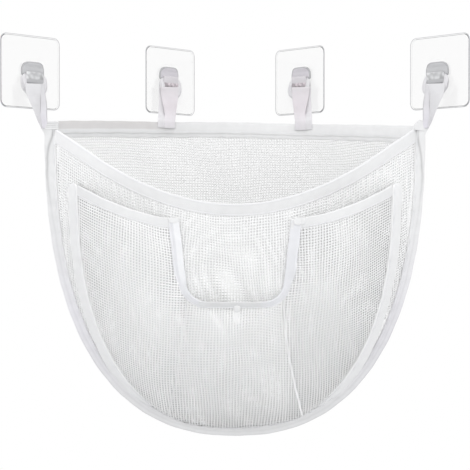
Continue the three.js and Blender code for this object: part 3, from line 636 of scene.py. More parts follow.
def tapeBody(outer, inner, values):
    # outer and inner are [point, 3]; the part has one ring for each point
    values = {**plainTape, **values}
    middle = (outer + inner) / 2
    across = inner - outer
    up = towardsRoom(unit(np.gradient(middle, axis=0)), across)
    width = np.linalg.norm(across, axis=1).mean()
    turn = around(values["sides"])
    place = (0.5 - 0.5 * np.cos(turn))[None, :]
    face = np.sign(np.sin(turn) + 1e-9)[None, :]
    swell = np.abs(np.sin(turn))[None, :] ** values["edgePower"]
    s = reachAlong(middle)[:, None]
    total = s[-1, 0]
    fromEnd = np.minimum(s, total - s)
    ends, taper = np.ones_like(s), np.ones_like(s)
    for radius, span, distance in zip(values["ends"], values["taper"], (s, total - s)):
        if radius:
            ends = ends * np.sqrt(np.clip(1 - (1 - np.clip(distance / radius, 0, 1)) ** 2, 0.002, 1))
        if span:
            taper = taper * (0.2 + 0.8 * np.clip(distance / span, 0, 1))
    outwards = values["selvedge"] * sum(hump(place, spot, values["edgeWidth"]) for spot in values["edges"])
    # tone paints light and shade into the colour: across and along the tape by its tables, and darker in each
    # groove, most near the tape's ends
    tone = np.interp(place, *values["tones"]) * np.interp(s / total, *values["along"])
    for spot in values["grooves"]:
        nearEnd = np.exp(-fromEnd / values["endReach"]) * values["endShade"]
        dip = hump(place, spot(s, total) if callable(spot) else spot, values["groove"] * (1 + nearEnd))
        dip = dip * np.interp(fromEnd, *values["grooveAlong"])
        outwards = outwards - values["grooveDepth"] * dip
        tone = tone - dip * (values["grooveShade"] + nearEnd)
    for spot in values["sewn"]:
        beat = 0.55 + 0.45 * np.cos(2 * math.pi * s / stitch["pitch"])
        outwards = outwards - stitch["dip"] * beat * hump(place, spot, stitch["dipWidth"])
    waves = np.sin(s / 1.9 + 1.1 * place) + 0.7 * np.sin(s / 3.1 + 2.0) + 0.9 * np.sin(s / 7.3 + 1.3)
    pucker = values["pucker"] * waves * (0.3 + 0.7 * place)
    height = face * swell * (values["thick"] / 2 + outwards) * np.sqrt(ends) * taper + pucker * 0.5
    spot = 0.5 + (place - 0.5) * ends + values["waver"] / width * np.sin(s / 4.3) * ends
    ring = outer[:, None] + across[:, None] * spot[..., None] + up[:, None] * height[..., None]
    u = np.broadcast_to(s, ring.shape[:2])
    v = np.broadcast_to(place * width, ring.shape[:2])
    tone = tone.reshape(-1, 1)
    if values["look"]:
        tone = tone * values["look"](s / total, place).reshape(-1, 3)
    return dict(tubes(ring[None], np.stack([u, v], -1)[None]), tone=tone)


def stitchPart(outer, inner, share, thick, face=1):
    # a row of small stitches on a tape, at a share of the way from outer to inner
    path = evenly(np.concatenate([outer + (inner - outer) * share, outer, inner], 1), stitch["pitch"])[1:-1]
    centre, across = path[:, :3], unit(path[:, 6:] - path[:, 3:6])
    along = unit(np.gradient(centre, axis=0))
    up = towardsRoom(along, across) * face
    across = np.cross(up, along)
    centre = centre + up * (thick / 2 - 0.02)
    t = np.array([-1.0, -0.55, 0.55, 1.0])
    girth = np.array([0.35, 0.95, 0.95, 0.35])[:, None]
    turn = np.arange(6) * math.pi / 3
    sideways = girth * np.cos(turn) * stitch["width"] / 2
    outwards = girth * np.sin(turn) * stitch["height"] - stitch["droop"] * np.abs(t[:, None])
    ring = (centre[:, None, None]
            + along[:, None, None] * (t * stitch["length"] / 2)[None, :, None, None]
            + across[:, None, None] * sideways[None, ..., None]
            + up[:, None, None] * outwards[None, ..., None])
    u = np.broadcast_to((np.arange(len(centre))[:, None, None] * 2 + t[None, :, None]), ring.shape[:3])
    v = np.broadcast_to(np.array([0, 0.3, 0.6, 0.9, 0.6, 0.3]), ring.shape[:3])
    return tubes(ring, np.stack([u, v], -1))


def makeTape(name, edges, values, replaced=None, rows=(0.86,), faces=(1,), cloth=tapeCloth):
    # a tape between two edges, with rows of stitches on one face or on both
    piece = makePiece(name, [tapeBody(*edges, dict(values, sewn=rows))],
                      [cloth], "bag", [replaced] if replaced else ())
    if not rows:
        return [piece]
    sewn = [stitchPart(*edges, row, values["thick"], face) for row in rows for face in faces]
    return [piece, makePiece(f"{name}_stitches", sewn, [sewingThread], "bag")]


def heightTape(line, start, end, width, surface):
    # the two edges of a tape that hangs from a height line
    x = np.linspace(start, end, 900)
    top = evenly(np.stack([x, line(x)], 1), tapeStep)
    slope = np.gradient(top[:, 1]) / np.gradient(top[:, 0])
    return (surface(top[:, 0], top[:, 1]),
            surface(top[:, 0], top[:, 1] - width * np.hypot(1, slope)))


def offset(path, distance):
    # a flat path moved to its left
    along = unit(np.gradient(path, axis=0))
    return path + np.stack([-along[:, 1], along[:, 0]], 1) * distance


# Outer binding round the U

binding = dict(
    thick=3.0, pucker=0.45, selvedge=0.3, sides=44, groove=0.105, endShade=0.16,
    grooveAlong=((0, 36, 70), (1, 1, 0.3)),
    # painted highlight along the inner edge
    tones=((0, 0.1, 0.5, 0.8, 0.92, 1), (1.0, 0.96, 0.97, 0.97, 1.04, 1.04)),
)
bindingShape = dict(
    width=8.6, topWidth=10.2, rightWidth=8.8, wideDrop=150.0, flare=3.2, flareDrop=6.5, top=1.4,
)


def fold(s, total):
    # the crease along the binding's middle swings out to the inner edge at both top corners; its groove is
    # painted dark as shade, most near the ends
    near = np.interp(s, [0, 2.4, 13, 19, 28, 42, 90], [0.95, 0.9, 0.58, 0.37, 0.24, 0.18, 0.5])
    far = np.interp(total - s, [0, 2.4, 13, 26, 40, 60, 90], [0.96, 0.93, 0.74, 0.42, 0.24, 0.28, 0.5])
    return np.where(s < total / 2, near, far)


def bindingLook(share, place):
    # painted shade: greyer round the foot and darkest along its outer edge there, with a faint lighter
    # stretch right of the foot's middle; and a little lilac on both flanks
    low = plateau(share, 0.22, 0.72, 0.1)
    lilac = hump(share, 0.25, 0.09) + 0.9 * hump(share, 0.75, 0.09) + 0 * place
    grey = (1 - low * (0.06 + 0.2 * hump(place, 0, 0.1))) * (1 + 0.035 * hump(share, 0.64, 0.06))
    return np.stack([grey, grey * (1 - 0.012 * lilac), grey * (1 + 0.024 * lilac)], -1)


turn = np.linspace(0, math.pi, 3000)
outline = np.stack([
    -np.sign(np.cos(turn)) * bag["halfWidth"] * np.abs(np.cos(turn)) ** (2 / bag["widthPower"]),
    -bag["drop"] * np.sin(turn) ** (2 / bag["dropPower"]),
], 1)
top = bindingShape["top"]
outline = evenly(np.concatenate([[[-bag["halfWidth"], top]], outline, [[bag["halfWidth"], top]]]), tapeStep)
flared = outline.copy()
flared[:, 0] *= 1 + bindingShape["flare"] / bag["halfWidth"] * np.clip(
    1 + (outline[:, 1] + 0.5) / bindingShape["flareDrop"], 0, 1) ** 1.5
topWidth = np.where(outline[:, :1] < 0, bindingShape["topWidth"], bindingShape["rightWidth"])
innerLine = offset(outline, topWidth + (bindingShape["width"] - topWidth) * np.clip(
    -outline[:, 1:] / bindingShape["wideDrop"], 0, 1))
outerEdge, innerEdge = (np.stack([path[:, 0], seamDepth(path[:, 1]), path[:, 1]], 1)
                        for path in (flared, innerLine))
# near the top the inner edge lies forward, on the front net
onNet = front(np.abs(innerLine[:, 0]), np.minimum(innerLine[:, 1], -4.0))[:, 1]
innerEdge[:, 1] = np.minimum(innerEdge[:, 1], onNet - 0.1)
outerTape = makeTape("outer_binding", (outerEdge, innerEdge),
                     dict(binding, grooves=(fold,), look=bindingLook),
                     "seam_binding", rows=(0.84,), faces=(1, -1))

# painted light: the rim tape is lightest at its left end, a little darker through its middle
rimTape = dict(thick=2.0, pucker=0.22, selvedge=0.26,
               along=((0, 0.2, 0.5, 0.8, 1), (1.11, 1.05, 0.97, 1.0, 1.03)))
rimEnd = bag["netHalfWidth"] - 1.1
rimPieces = makeTape("front_rim", heightTape(rimLine, -rimEnd, rimEnd, rim["width"], front), rimTape,
                     "front_rim_tape", rows=(0.12, 0.88))


def bandLook(share, place):
    # painted shade and light: up to the first strap the upper strip is darker and the strips below it
    # lighter; the upper strip is also a little pink
    left = 1 - smoothstep((share - 0.28) / 0.06)
    strip = np.interp(place, [0, 0.44, 0.5, 0.72, 0.8, 1], [0.915, 0.915, 1.09, 1.09, 1.08, 1.08])
    pink = left * (place < 0.47)
    grey = 1 + left * (strip - 1)
    return np.stack([grey * (1 + 0.025 * pink), grey, grey * (1 - 0.008 * pink)], -1)


bandTape = dict(
    thick=2.0, pucker=0.2, selvedge=0.1, grooves=(0.755,), groove=0.034, sides=60, look=bandLook,
    # painted shade along the top edge and the hem's fold; the band is also lighter towards its right end
    along=((0, 0.34, 0.42, 0.6, 1), (0.99, 1.01, 1.07, 1.14, 1.2)),
    tones=((0, 0.04, 0.08, 0.6, 0.7, 0.8, 0.9, 1), (0.9, 0.9, 0.95, 0.95, 0.98, 0.88, 0.9, 0.99)),
)
bandEnd = bag["netHalfWidth"] + 0.5
bandPieces = makeTape("back_band", heightTape(bandLine, -bandEnd, bandEnd, band["width"], back), bandTape,
                      "back_band", rows=(0.62,))

# The band's two ends, folded round to the front of the corners; the top stands
# off the binding and the foot sinks into it
tabTape = dict(thick=1.2, pucker=0.2, selvedge=0.1, groove=0.05, sides=40, ends=(0.8, 0.8), tones=level(0.97))
tabDepths = ((145, 148, 161), (-7.8, -7.6, -3.6))       # at distances across from the middle
tabs = dict(
    left=dict(x=(-157.4, -152.0, -145.4), top=(4.6, 4.7, 4.8), foot=(-2.0, -2.2, -2.2), sink=0.1,
              grooves=(0.26, 0.5, 0.74)),
    right=dict(x=(147.6, 152.6, 157.4), top=(1.4, 6.2, 4.2), foot=(-2.6, -3.0, -3.4), sink=0.6, grooves=()),
)
for sideName, tab in tabs.items():
    x = np.linspace(tab["x"][0], tab["x"][2], 40)
    edges = [np.stack([x, np.interp(np.abs(x), *tabDepths) + out, np.interp(x, tab["x"], tab[edge])], 1)
             for edge, out in (("top", -0.3), ("foot", tab["sink"]))]
    bandPieces += makeTape(f"{sideName}_corner_tab", edges, dict(tabTape, grooves=tab["grooves"]), rows=())

# The side pockets' tapes; a corner is the rim's inner end, folded over beside the notch
pocketRimTape = dict(thick=1.8, pucker=0.22, selvedge=0.24, along=level(1.025))
# painted light: the piping is lightest at its rounded top
pipingTape = dict(thick=2.8, pucker=0.25, selvedge=0.25, ends=(5.5, 0), taper=(0, 30),
                  along=((0, 0.12, 1), (1.09, 1.04, 1.02)))
seamTape = dict(pucker=0.15, selvedge=0.05, sides=16)
cornerTape = dict(thick=1.6, pucker=0.5, selvedge=0.1, sides=28, ends=(3.4, 3.4), tones=level(1.02))
sideTapes = dict(
    left=dict(seam=dict(thick=1.0, tones=level(1.04)), seamSunk=0.5, corner=(43.9, 53.2), cornerTall=4.4),
    right=dict(seam=dict(thick=1.4, tones=level(1.1), along=((0, 0.45, 0.75, 1), (0.95, 1.0, 1.1, 1.12))),
               seamSunk=0.0, corner=(46.0, 56.2), cornerTall=6.0),
)
for side, (sideName, values) in zip((-1, 1), sideTapes.items()):
    ends = sorted((side * (notch["halfTop"] - 0.5), side * (pocketMouth + 0.4)))
    pieces = makeTape(f"{sideName}_pocket_rim",
                      heightTape(pocketRimLine, *ends, pocket["rimWidth"], sidePocket), pocketRimTape,
                      f"{sideName}_pocket_rim")
    z = np.linspace(-pocket["top"] + pocket["shoulder"], -pocket["pipingFoot"], 900)
    z = z[pocketOutline(z) < netHalf(z) + pocket["pipingPast"]]
    path = evenly(np.stack([side * pocketOutline(z), z, side * pipingInner(z)], 1), tapeStep)
    sink = np.zeros((len(path), 3))         # the piping's foot goes down into the binding
    sink[:, 1] = pocket["sink"] * smoothstep((-path[:, 1] - pocket["sinkDrop"]) / pocket["sinkReach"])
    pieces += makeTape(f"{sideName}_pocket_piping",
                       (besidePocket(path[:, 0], path[:, 1]) + sink,
                        besidePocket(path[:, 2], path[:, 1]) - [0, 0.8, 0] + sink),
                       pipingTape, f"{sideName}_pocket_piping", rows=(0.8,))
    z = np.linspace(notchFoot(notch["halfBottom"]) + 1, netFoot(62.0) - 1.0, 300)
    path = evenly(np.stack([pocketSeam(z), z], 1), tapeStep)
    edges = [besidePocket(side * (path[:, 0] + wide), path[:, 1]) + [0, values["seamSunk"], 0]
             for wide in (notch["seamWidth"] / 2, -notch["seamWidth"] / 2)]
    pieces += makeTape(f"{sideName}_pocket_seam", edges, dict(seamTape, **values["seam"]),
                       f"{sideName}_pocket_seam", rows=())
    x = np.linspace(*sorted(side * np.array(values["corner"])), 30)
    edges = [raised(sidePocket, x, np.full_like(x, -pocket["cornerTop"]) - drop, 1.0)
             for drop in (0, values["cornerTall"])]
    pieces += makeTape(f"{sideName}_notch_corner", edges, cornerTape, rows=())

# Notch tape: down one side, round two corners and up the other
topZ = -pocket["rimDrop"] - 1.0
halfPath = np.concatenate([
    [[-notchHalf(topZ), topZ]], arc((-cornerHalf, -cornerDrop), notch["radius"], 180, 270, 40),
])
notchPath = evenly(np.concatenate([halfPath, halfPath[::-1] * [-1, 1]]), 0.3)
kernel = np.ones(9) / 9       # softens the turn into each corner
padded = np.pad(notchPath, ((4, 4), (0, 0)), "edge")
notchPath = evenly(np.stack([np.convolve(padded[:, k], kernel, "valid") for k in (0, 1)], 1), tapeStep)
notchOuter = offset(notchPath, -np.interp(notchPath[:, 1], *notch["widths"])[:, None])


def notchLook(share, place):
    # painted light along the opening at the top left, and painted shade, a plain grey, along the middle of
    # the foot
    light = (1 - smoothstep((share - 0.2) / 0.08)) * (place < 0.5)
    plain = plateau(share, 0.34, 0.58, 0.04)
    grey = 1 + 0.11 * light - 0.03 * plain
    warm = grey * (1 + 0.012 * plain)
    return np.stack([warm, warm, grey * (1 - 0.012 * (plain + light))], -1)


notchTape = dict(
    thick=2.2, pucker=0.2, selvedge=0.26, look=notchLook,
    # painted shade: darker round the middle of the foot, lighter towards both top ends
    along=((0, 0.3, 0.42, 0.58, 0.7, 1), (1.08, 1.04, 0.93, 0.93, 1.03, 1.07)),
    tones=((0, 0.12, 0.8, 0.9, 1), (1.0, 0.97, 0.97, 1.12, 1.12)),
)
notchPieces = makeTape("notch_binding", [middlePocket(*path.T) for path in (notchPath, notchOuter)],
                       notchTape, "notch_binding", rows=(0.84,), cloth=notchCloth)

knob = dict(left=-0.9, right=4.3, top=-144.6, foot=-150.2, lift=1.2)
knobTape = dict(thick=2.0, pucker=0.3, selvedge=0.1, sides=24, ends=(1.4, 2.2), tones=level(0.98))
z = np.linspace(knob["top"], knob["foot"], 24)
edges = [raised(middlePocket, np.full_like(z, knob[edge]), z, knob["lift"]) for edge in ("left", "right")]
knobPieces = makeTape("middle_knob", edges, knobTape, "middle_seam_tape", rows=())
print("tapes made")


# Pads and hooks: drawn on a wall, x along it, z up and -y into the room

hanger = dict(
    cornerReach=170.8, pad=60.0, radius=6.0, glueInset=1.0, glue=0.4, gap=0.3, thick=1.0,
    padTaller=0.8, padShift=-0.9,
)
rowsOfHooks = dict(
    outer=dict(span=170.8, height=46.6, shift=-1.7, aside=-1.2),
    inner=dict(span=60.0, height=50.5, shift=2.3, aside=3.2),
)
sites = []
for row, side, sideName in (("outer", -1, "left"), ("inner", -1, "left"),
                            ("inner", 1, "right"), ("outer", 1, "right")):
    values = rowsOfHooks[row]
    sites.append(dict(
        name=f"{row}_{sideName}", row=row, side=side, turn=-side * math.pi / 4,
        place=np.array([side * values["span"], hanger["cornerReach"] - values["span"], values["height"]]),
        shift=values["shift"], aside=side * values["aside"],
    ))


def onWall(site, points):
    # points [.., (along, out, up)] of a wall to the bag's millimetres
    c, s = math.cos(site["turn"]), math.sin(site["turn"])
    along, out, up = points[..., 0], points[..., 1], points[..., 2]
    return np.stack([along * c + out * s, along * s - out * c, up], -1) + site["place"]


def roundedSquare(width, height, topRadius, footRadius):
    # corners are quarter circles; the path runs round from the lower right corner
    return np.concatenate([
        arc((cx * (width / 2 - radius), cz * (height / 2 - radius)), radius, start, start + 90, 10)
        for cx, cz, radius, start in ((1, -1, footRadius, -90), (1, 1, topRadius, 0), (-1, 1, topRadius, 90),
                                      (-1, -1, footRadius, 180))])


def plateRings(outline, layers):
    # layers are (inset, out): each ring is the outline drawn in by inset, at a distance from the wall
    half = np.abs(outline).max(0)
    return np.stack([np.concatenate([
        outline[:, :1] * (1 - inset / half[0]), np.full((len(outline), 1), out),
        outline[:, 1:] * (1 - inset / half[1])], 1) for inset, out in layers])


def clearMaterial(name, color, roughness, transmission, ior=1.46, foldsAndGlints=0.0):
    # the last argument is the scale of a painted pattern: light flecks with darker rims, partly the ribbon's
    # folds seen dimly through a milky piece, partly painted highlights and shade
    nodes = Nodes(name, color, roughness, Transmission_Weight=transmission, IOR=ior)
    if foldsAndGlints:
        folds = nodes.add("TexVoronoi", {"Vector": nodes.uv, "Scale": foldsAndGlints}, feature="SMOOTH_F1")
        dark = nodes.math("MULTIPLY", nodes.math("SUBTRACT", folds.outputs["Distance"], 0.29), 3.4)
        nodes.shade(dark, [min(1.0, 1.18 * c) for c in color], [0.68 * c for c in color], toned=False)
    nodes.bump(nodes.noise(0.6), 0.05, 0.0002)
    return nodes.material


padMaterials = [clearMaterial("padClear", (0.985, 0.985, 0.985), 0.03, 1.0),
                clearMaterial("padSide", (0.62, 0.62, 0.63), 0.35, 0.1),
                clearMaterial("padEdge", (0.46, 0.46, 0.47), 0.3, 0.2)]
glueClear = clearMaterial("glueClear", (0.985, 0.985, 0.985), 0.1, 1.0, 1.4)
hookEdge = clearMaterial("hookEdge", (0.52, 0.52, 0.53), 0.25, 0.2)
# the lip's foot is painted darker as shade under the lip
hookMaterials = dict(   # arm, cap, the cap's edge and the lip's foot
    outer=[clearMaterial("hookClear", (0.78, 0.78, 0.785), 0.15, 0.3, foldsAndGlints=0.25),
           clearMaterial("hookCap", (0.68, 0.68, 0.69), 0.2, 0.25), hookEdge,
           clearMaterial("hookFoot", (0.59, 0.59, 0.60), 0.2, 0.2)],
    inner=[clearMaterial("innerClear", (0.85, 0.82, 0.845), 0.15, 0.3),
           clearMaterial("innerCap", (0.79, 0.76, 0.80), 0.2, 0.25), hookEdge,
           clearMaterial("innerFoot", (0.72, 0.65, 0.68), 0.2, 0.2, foldsAndGlints=0.45)],
)


def platePart(site, rings, shift=(0.0, 0.0), finish=(0, 0)):
    # shift is (along, up); finish gives a material's number to each band between two rings
    points = onWall(site, rings + [shift[0], 0, shift[1]])
    part = tubes(points[None], np.stack([rings[..., 0], rings[..., 2]], -1)[None])
    if len(finish) > 2:
        part["finish"] = (np.repeat(finish, rings.shape[1]), (finish[0], finish[-1]))
    return part


hook = dict(
    height=18.4, capWidth=22.8, capHeight=11.4, capRadius=7.0, capFoot=1.2, tongueWidth=17.4,
    tongue=1.1, valley=1.9, lip=1.1, lipHeight=6.6, arm=3.3, round=1.4, fillet=0.7, bevel=0.4,
    greyFoot=3.7, thicker=1.1, thickFrom=4.4, thickReach=3.6,
)
hookBack = hanger["glue"] + 2 * hanger["gap"] + hanger["thick"]
hookFoot, capMiddle = -hook["height"] / 2, hook["height"] / 2 - hook["capHeight"] / 2


def hookProfile():
    # the J seen from its side, as (out, up), round from the top of the tongue's back
    tongueFront = hookBack + hook["tongue"]
    lipBack = tongueFront + hook["valley"]
    lipFront = lipBack + hook["lip"]
    valleyFoot = hookFoot + hook["arm"]
    lipTop = valleyFoot + hook["lipHeight"]
    half, fillet, curve = hook["lip"] / 2, hook["fillet"], hook["round"]
    return np.concatenate([
        [[hookBack, capMiddle], [hookBack, hookFoot]],
        arc((lipFront - curve, hookFoot + curve), curve, -90, 0, 7),
        [[lipFront, hookFoot + hook["greyFoot"]]],
        arc((lipBack + half, lipTop - half), half, 0, 180, 9),
        arc((lipBack - fillet, valleyFoot + fillet), fillet, 0, -90, 6),
        arc((tongueFront + fillet, valleyFoot + fillet), fillet, 270, 180, 6),
        [[tongueFront, capMiddle]],
    ])


def hookParts(site):
    # the J between its two bevelled sides, and the cap as a stack of rounded plates
    profile = hookProfile()
    along = unit(np.roll(profile, -1, 0) - np.roll(profile, 1, 0))
    inwards = np.stack([-along[:, 1], along[:, 0]], 1)
    half, bevel = hook["tongueWidth"] / 2, hook["bevel"]
    chamfer = bevel * 0.3
    rings = []
    for spot, inset in ((-half, bevel), (-half + chamfer, chamfer), (-half + bevel, 0),
                        (half - bevel, 0), (half - chamfer, chamfer), (half, bevel)):
        drawn = profile + inwards * inset
        rings.append(np.stack([np.full(len(drawn), spot), drawn[:, 0], drawn[:, 1]], 1))
    shift = (site["aside"], site["shift"])
    j = platePart(site, np.stack(rings), shift, (0, 0, 0, 0, 0))
    bands = j["finish"][0].reshape(5, -1)
    # painted shade: the lowest part of the lip's faces takes the darker foot material
    bands[1:4, (profile[:, 1] + np.roll(profile[:, 1], -1)) / 2 < hookFoot + hook["greyFoot"]] = 3
    outline = roundedSquare(hook["capWidth"], hook["capHeight"], hook["capRadius"], hook["capFoot"])
    layers = [(0.25, 0), (0, 0.25), (0, 0.9), (0.12, 1.2), (0.4, 1.4), (1.2, 1.5), (3.0, 1.5), (4.4, 1.5)]
    cap = plateRings(outline, [(inset, hookBack + out) for inset, out in layers])
    cap[..., 2] += capMiddle
    # the cap thickens towards its top
    cap[3:, :, 1] += hook["thicker"] * smoothstep((cap[3:, :, 2] - hook["thickFrom"]) / hook["thickReach"])
    return j, platePart(site, cap, shift, (2, 2, 2, 2, 2, 1, 1))


def union(name, parts, materials, body, replaced):
    # joins two closed parts into one skin
    first, second = (makePiece(f"{name}{tail}", [part], materials, body)
                     for tail, part in zip(("", "_b"), parts))
    modifier = first.modifiers.new("join", "BOOLEAN")
    modifier.operation, modifier.solver, modifier.object = "UNION", "EXACT", second
    evaluated = first.evaluated_get(bpy.context.evaluated_depsgraph_get())
    joined = bpy.data.meshes.new_from_object(evaluated)
    first.modifiers.remove(modifier)
    first.data = joined
    bpy.data.objects.remove(second)
    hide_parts(*replaced)
    return first


glue, padBack = hanger["glue"], hanger["glue"] + hanger["gap"]
padFront = padBack + hanger["thick"]
glued = hanger["pad"] - 2 * hanger["glueInset"]
glueOutline = roundedSquare(glued, glued + hanger["padTaller"], hanger["radius"] - 1, hanger["radius"] - 1)
padOutline = roundedSquare(hanger["pad"], hanger["pad"] + hanger["padTaller"],
                           hanger["radius"], hanger["radius"])
glueRings = plateRings(glueOutline, [(0.8, 0), (0, 0), (0, glue), (0.8, glue)])
padRings = plateRings(padOutline, [
    (0.9, padBack), (0.12, padBack), (0.0, padBack + 0.12), (0.0, padFront - 0.2),
    (0.06, padFront - 0.06), (0.25, padFront), (0.5, padFront), (1.2, padFront)])
for site in sites:
    name = site["name"]
    down = (0, hanger["padShift"])
    makePiece(f"glue_{name}", [platePart(site, glueRings, down)],
              [glueClear], "wall_hooks", [f"adhesive_{name}"])
    makePiece(f"pad_plate_{name}", [platePart(site, padRings, down, (0, 1, 1, 2, 2, 2, 0))], padMaterials,
              "wall_hooks", [f"pad_{name}"])
    union(f"wall_hook_{name}", hookParts(site), hookMaterials[site["row"]],
          "wall_hooks", [f"hook_{name}"])
print("pads and hooks made")


# Straps: a ribbon in two plies, each turning as it runs down to the bag, with
# a bunched eye round the hook

strap = dict(topDrop=9.9, lowerFoot=1.8)
strapTape = dict(thick=0.8, pucker=0.1, selvedge=0.06, waver=0.0, taper=(0, 7), tones=level(1))


def curveThrough(knots, count, closed=False):
    # a smooth curve through rows of numbers, by cubic pieces
    knots = np.asarray(knots, float)
    ext = np.concatenate([knots[-1:], knots, knots[:2]]) if closed else np.concatenate(
        [2 * knots[:1] - knots[1:2], knots, 2 * knots[-1:] - knots[-2:-1]])
    pieces = len(knots) if closed else len(knots) - 1
    t = np.linspace(0, pieces, count, endpoint=not closed)
    i = np.minimum(t.astype(int), pieces - 1)
    f = (t - i)[:, None]
    a, b, c, d = (ext[i + k] for k in range(4))
    return 0.5 * (2 * b + (c - a) * f + (2 * a - 5 * b + 4 * c - d) * f ** 2
                  + (3 * b - a - 3 * c + d) * f ** 3)


def outerPlies(x, y, side, top):
    # knots of two plies: x, y, z, turn of the ribbon's width from the picture plane, width
    return [[
        (x - side * 6.6, -12.6, top, 19, 16.5), (x - side * 6.9, -12.0, 27.7, 25, 16.4),
        (x - side * 9.2, -9.2, 17.8, 45, 16.4), (x - side * 11.0, -6.6, 7.9, 60, 14.5),
        (x - side * 12.5, -4.6, -0.6, 45, 6.0),
    ], [
        (x - side * 13.0, -11.2, top - 0.5, 12, 2.8), (x - side * 12.7, -10.4, 27.7, 12, 3.4),
        (x - side * 12.8, -8.6, 17.8, 12, 4.4), (x - side * 12.6, -7.6, 7.9, 10, 5.0),
        (x - side * 12.8, -5.2, -1.0, 6, 5.0),
    ]]


def innerPlies(x, y, side, top):
    # knots as for the outer plies; the feet lie on the band
    low = strap["lowerFoot"] if side > 0 else 0.0

    def onBand(across, out, z, turn, width):
        return (side * across, back(np.array(side * across), np.array(7.0))[1] - out, z, turn, width)

    return [[
        (x + side * 0.6, y - 14.7, top, 18, 17.4), (x + side * 0.8, y - 13.8, top - 8, 17, 16.8),
        (side * 62.8, y - 15.4, 20.0, 25, 14.0), onBand(63.3, 1.0, 14.0, 31, 13.9),
        onBand(63.5, 2.4, 10.6, 33, 13.8), onBand(63.5, 2.3, 5.4 - low, 33, 13.8),
    ], [
        (x - side * 0.6, y - 15.8, top - 0.4, 18, 16.8), (x - side * 0.8, y - 14.9, top - 8, 16, 15.8),
        (side * 58.5, y - 16.2, 20.0, 23, 11.2), onBand(58.8, 1.6, 14.0, 30, 11.3),
        onBand(58.9, 2.9, 10.6, 33, 11.4), onBand(58.9, 2.7, 5.3 - low, 33, 11.4),
    ]]


def ribbonEdges(site):
    # the two edges of each ply, half its width to either side of its middle
    x, y, z = site["place"]
    pliesOf = outerPlies if site["row"] == "outer" else innerPlies
    edges = []
    for knots in pliesOf(x, y, site["side"], z + site["shift"] - strap["topDrop"]):
        path = curveThrough(knots, 80)
        angle = np.radians(path[:, 3]) * -site["side"]
        reach = np.stack([np.cos(angle), np.sin(angle), np.zeros(len(angle))], 1) * path[:, 4:] / 2
        edges.append((path[:, :3] + reach, path[:, :3] - reach))
    return edges


def eyeBunch(site):
    # the ribbon bunched into a soft cord through the hook, round both sides and in behind its own face
    knots = [   # along, out, up, half size along the loop's plane, half size across it
        (0.0, 7.6, -17.8, 2.3, 1.6), (-6.3, 7.2, -16.9, 2.4, 2.0), (-9.6, 6.0, -13.2, 2.6, 2.5),
        (-10.4, 4.9, -8.4, 2.5, 2.2), (-9.6, 4.3, -4.6, 2.5, 1.4), (-6.0, 4.1, -3.3, 2.6, 0.85),
        (0.0, 4.1, -3.2, 2.6, 0.85), (6.0, 4.1, -3.3, 2.6, 0.85), (9.6, 4.3, -4.8, 2.4, 1.4),
        (10.2, 4.7, -8.6, 2.3, 2.2), (9.4, 5.8, -13.0, 2.3, 2.3), (6.0, 7.0, -16.7, 2.3, 2.0),
    ]
    path = curveThrough(knots, 84, closed=True)
    centre = path[:, :3] + [site["aside"], 0, site["shift"]]
    along = unit(np.roll(centre, -1, 0) - np.roll(centre, 1, 0))
    out = unit(np.array([0.0, 1.0, 0.0]) - along * along[:, 1:2])
    across = np.cross(along, out)
    sides = 28
    turn = around(sides)
    s = np.arange(len(path))[:, None] / len(path) * 2 * math.pi
    folds = 1 + 0.13 * np.cos(5 * turn[None] + 2 * np.sin(s)) + 0.07 * np.cos(3 * turn[None] - 3 * s)
    ring = (centre[:, None] + across[:, None] * (path[:, 3:4] * folds * np.cos(turn))[..., None]
            + out[:, None] * (path[:, 4:5] * np.minimum(folds, 1.04) * np.sin(turn))[..., None])
    here = np.arange(len(path))[:, None] * sides + np.arange(sides)[None]
    ahead = np.roll(here, -1, 0)
    quads = np.stack([here, np.roll(here, -1, 1), np.roll(ahead, -1, 1), ahead], -1).reshape(-1, 4)
    u = np.broadcast_to(np.arange(len(path))[:, None] * 0.9, here.shape)
    v = np.broadcast_to(np.abs(turn - math.pi)[None] * 2.6, here.shape)
    return closedPart(onWall(site, ring), [quads], np.stack([u, v], -1))


def tintAlong(*colors):
    # colours of a ribbon at its top, its middle and its foot
    shares, channels = (0, 0.5, 1), np.transpose(colors)
    return lambda share, place: np.stack([np.interp(share + 0 * place, shares, c) for c in channels], -1)


# painted light and shade on the ribbon plies: the outer straps' plies greyer, the inner straps' plies
# lighter, lightest at their feet
plyLightAndShade = dict(
    inner=[tintAlong((1.02, 1.01, 1.01), (1.03, 1.02, 1.025), (1.07, 1.07, 1.07)),
           tintAlong((1.02, 0.99, 1.0), (1.02, 0.97, 0.99), (1.09, 1.08, 1.09))],
    outer=[tintAlong((0.97, 0.975, 0.97), (0.96, 0.965, 0.96), (0.97, 0.97, 0.975)),
           tintAlong((0.93, 0.935, 0.935), (0.95, 0.95, 0.96), (0.99, 0.975, 1.02))],
)
for site in sites:
    name = site["name"]
    plies = [tapeBody(*edges, dict(strapTape, look=tint))
             for edges, tint in zip(ribbonEdges(site), plyLightAndShade[site["row"]])]
    makePiece(f"ribbon_{name}", [*plies, eyeBunch(site)], [ribbonCloth],
                            "bag", [f"strap_{name}"])
print("straps made")


# Floor, world and lamps

studio = dict(floorHeight=-1.2, floorHalf=4.5, worldColor=(0.97, 0.98, 1.0), worldLight=0.97)

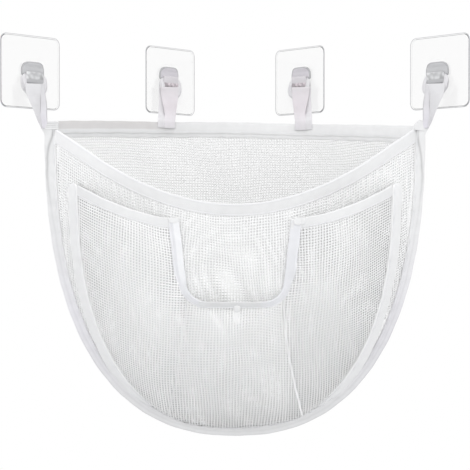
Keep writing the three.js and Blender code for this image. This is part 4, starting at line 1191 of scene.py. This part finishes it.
world = bpy.data.worlds.new("studio")
world.use_nodes = True
scene.world = world
nodes, links = world.node_tree.nodes, world.node_tree.links
background = nodes["Background"]
background.inputs["Color"].default_value = (*studio["worldColor"], 1)
background.inputs["Strength"].default_value = studio["worldLight"]

# camera, glossy and transmission rays see plain white
path = nodes.new("ShaderNodeLightPath")
seen = path.outputs["Is Camera Ray"]
for kind in ("Is Glossy Ray", "Is Transmission Ray"):
    either = nodes.new("ShaderNodeMath")
    either.operation = "MAXIMUM"
    links.new(seen, either.inputs[0])
    links.new(path.outputs[kind], either.inputs[1])
    seen = either.outputs[0]
white = nodes.new("ShaderNodeBackground")
white.inputs["Color"].default_value = (1, 1, 1, 1)
mix = nodes.new("ShaderNodeMixShader")
links.new(seen, mix.inputs[0])
links.new(background.outputs[0], mix.inputs[1])
links.new(white.outputs[0], mix.inputs[2])
links.new(mix.outputs[0], nodes["World Output"].inputs["Surface"])

floorNodes = Nodes("floorPaint", (0.9, 0.9, 0.9), 0.9)
floorNodes.shade(floorNodes.noise(3.0), (0.88, 0.88, 0.88), (0.92, 0.92, 0.92), toned=False)
half, height = studio["floorHalf"], studio["floorHeight"]
floorMesh = bpy.data.meshes.new("floor")
corners = [(-half, -half, height), (half, -half, height), (half, half, height), (-half, half, height)]
floorMesh.from_pydata(corners, [], [(0, 1, 2, 3)])
floorMesh.uv_layers.new(name="cloth")
floorMesh.materials.append(floorNodes.material)
floor = bpy.data.objects.new("floor", floorMesh)
scene.collection.objects.link(floor)

lamps = [   # name, place, size, power; each aims at the middle of the frame
    ("key", (-0.7, -1.5, 1.5), 1.2, 12),
    ("fill", (1.1, -1.3, 0.5), 1.4, 5),
]
for name, place, size, power in lamps:
    data = bpy.data.lights.new(name, "AREA")
    data.shape, data.size, data.energy = "DISK", size, power
    lamp = bpy.data.objects.new(name, data)
    lamp.location = place
    aim = -np.array(place)
    lamp.rotation_euler = (math.atan2(math.hypot(aim[0], aim[1]), -aim[2]), 0, math.atan2(-aim[0], aim[1]))
    scene.collection.objects.link(lamp)
print("light set")
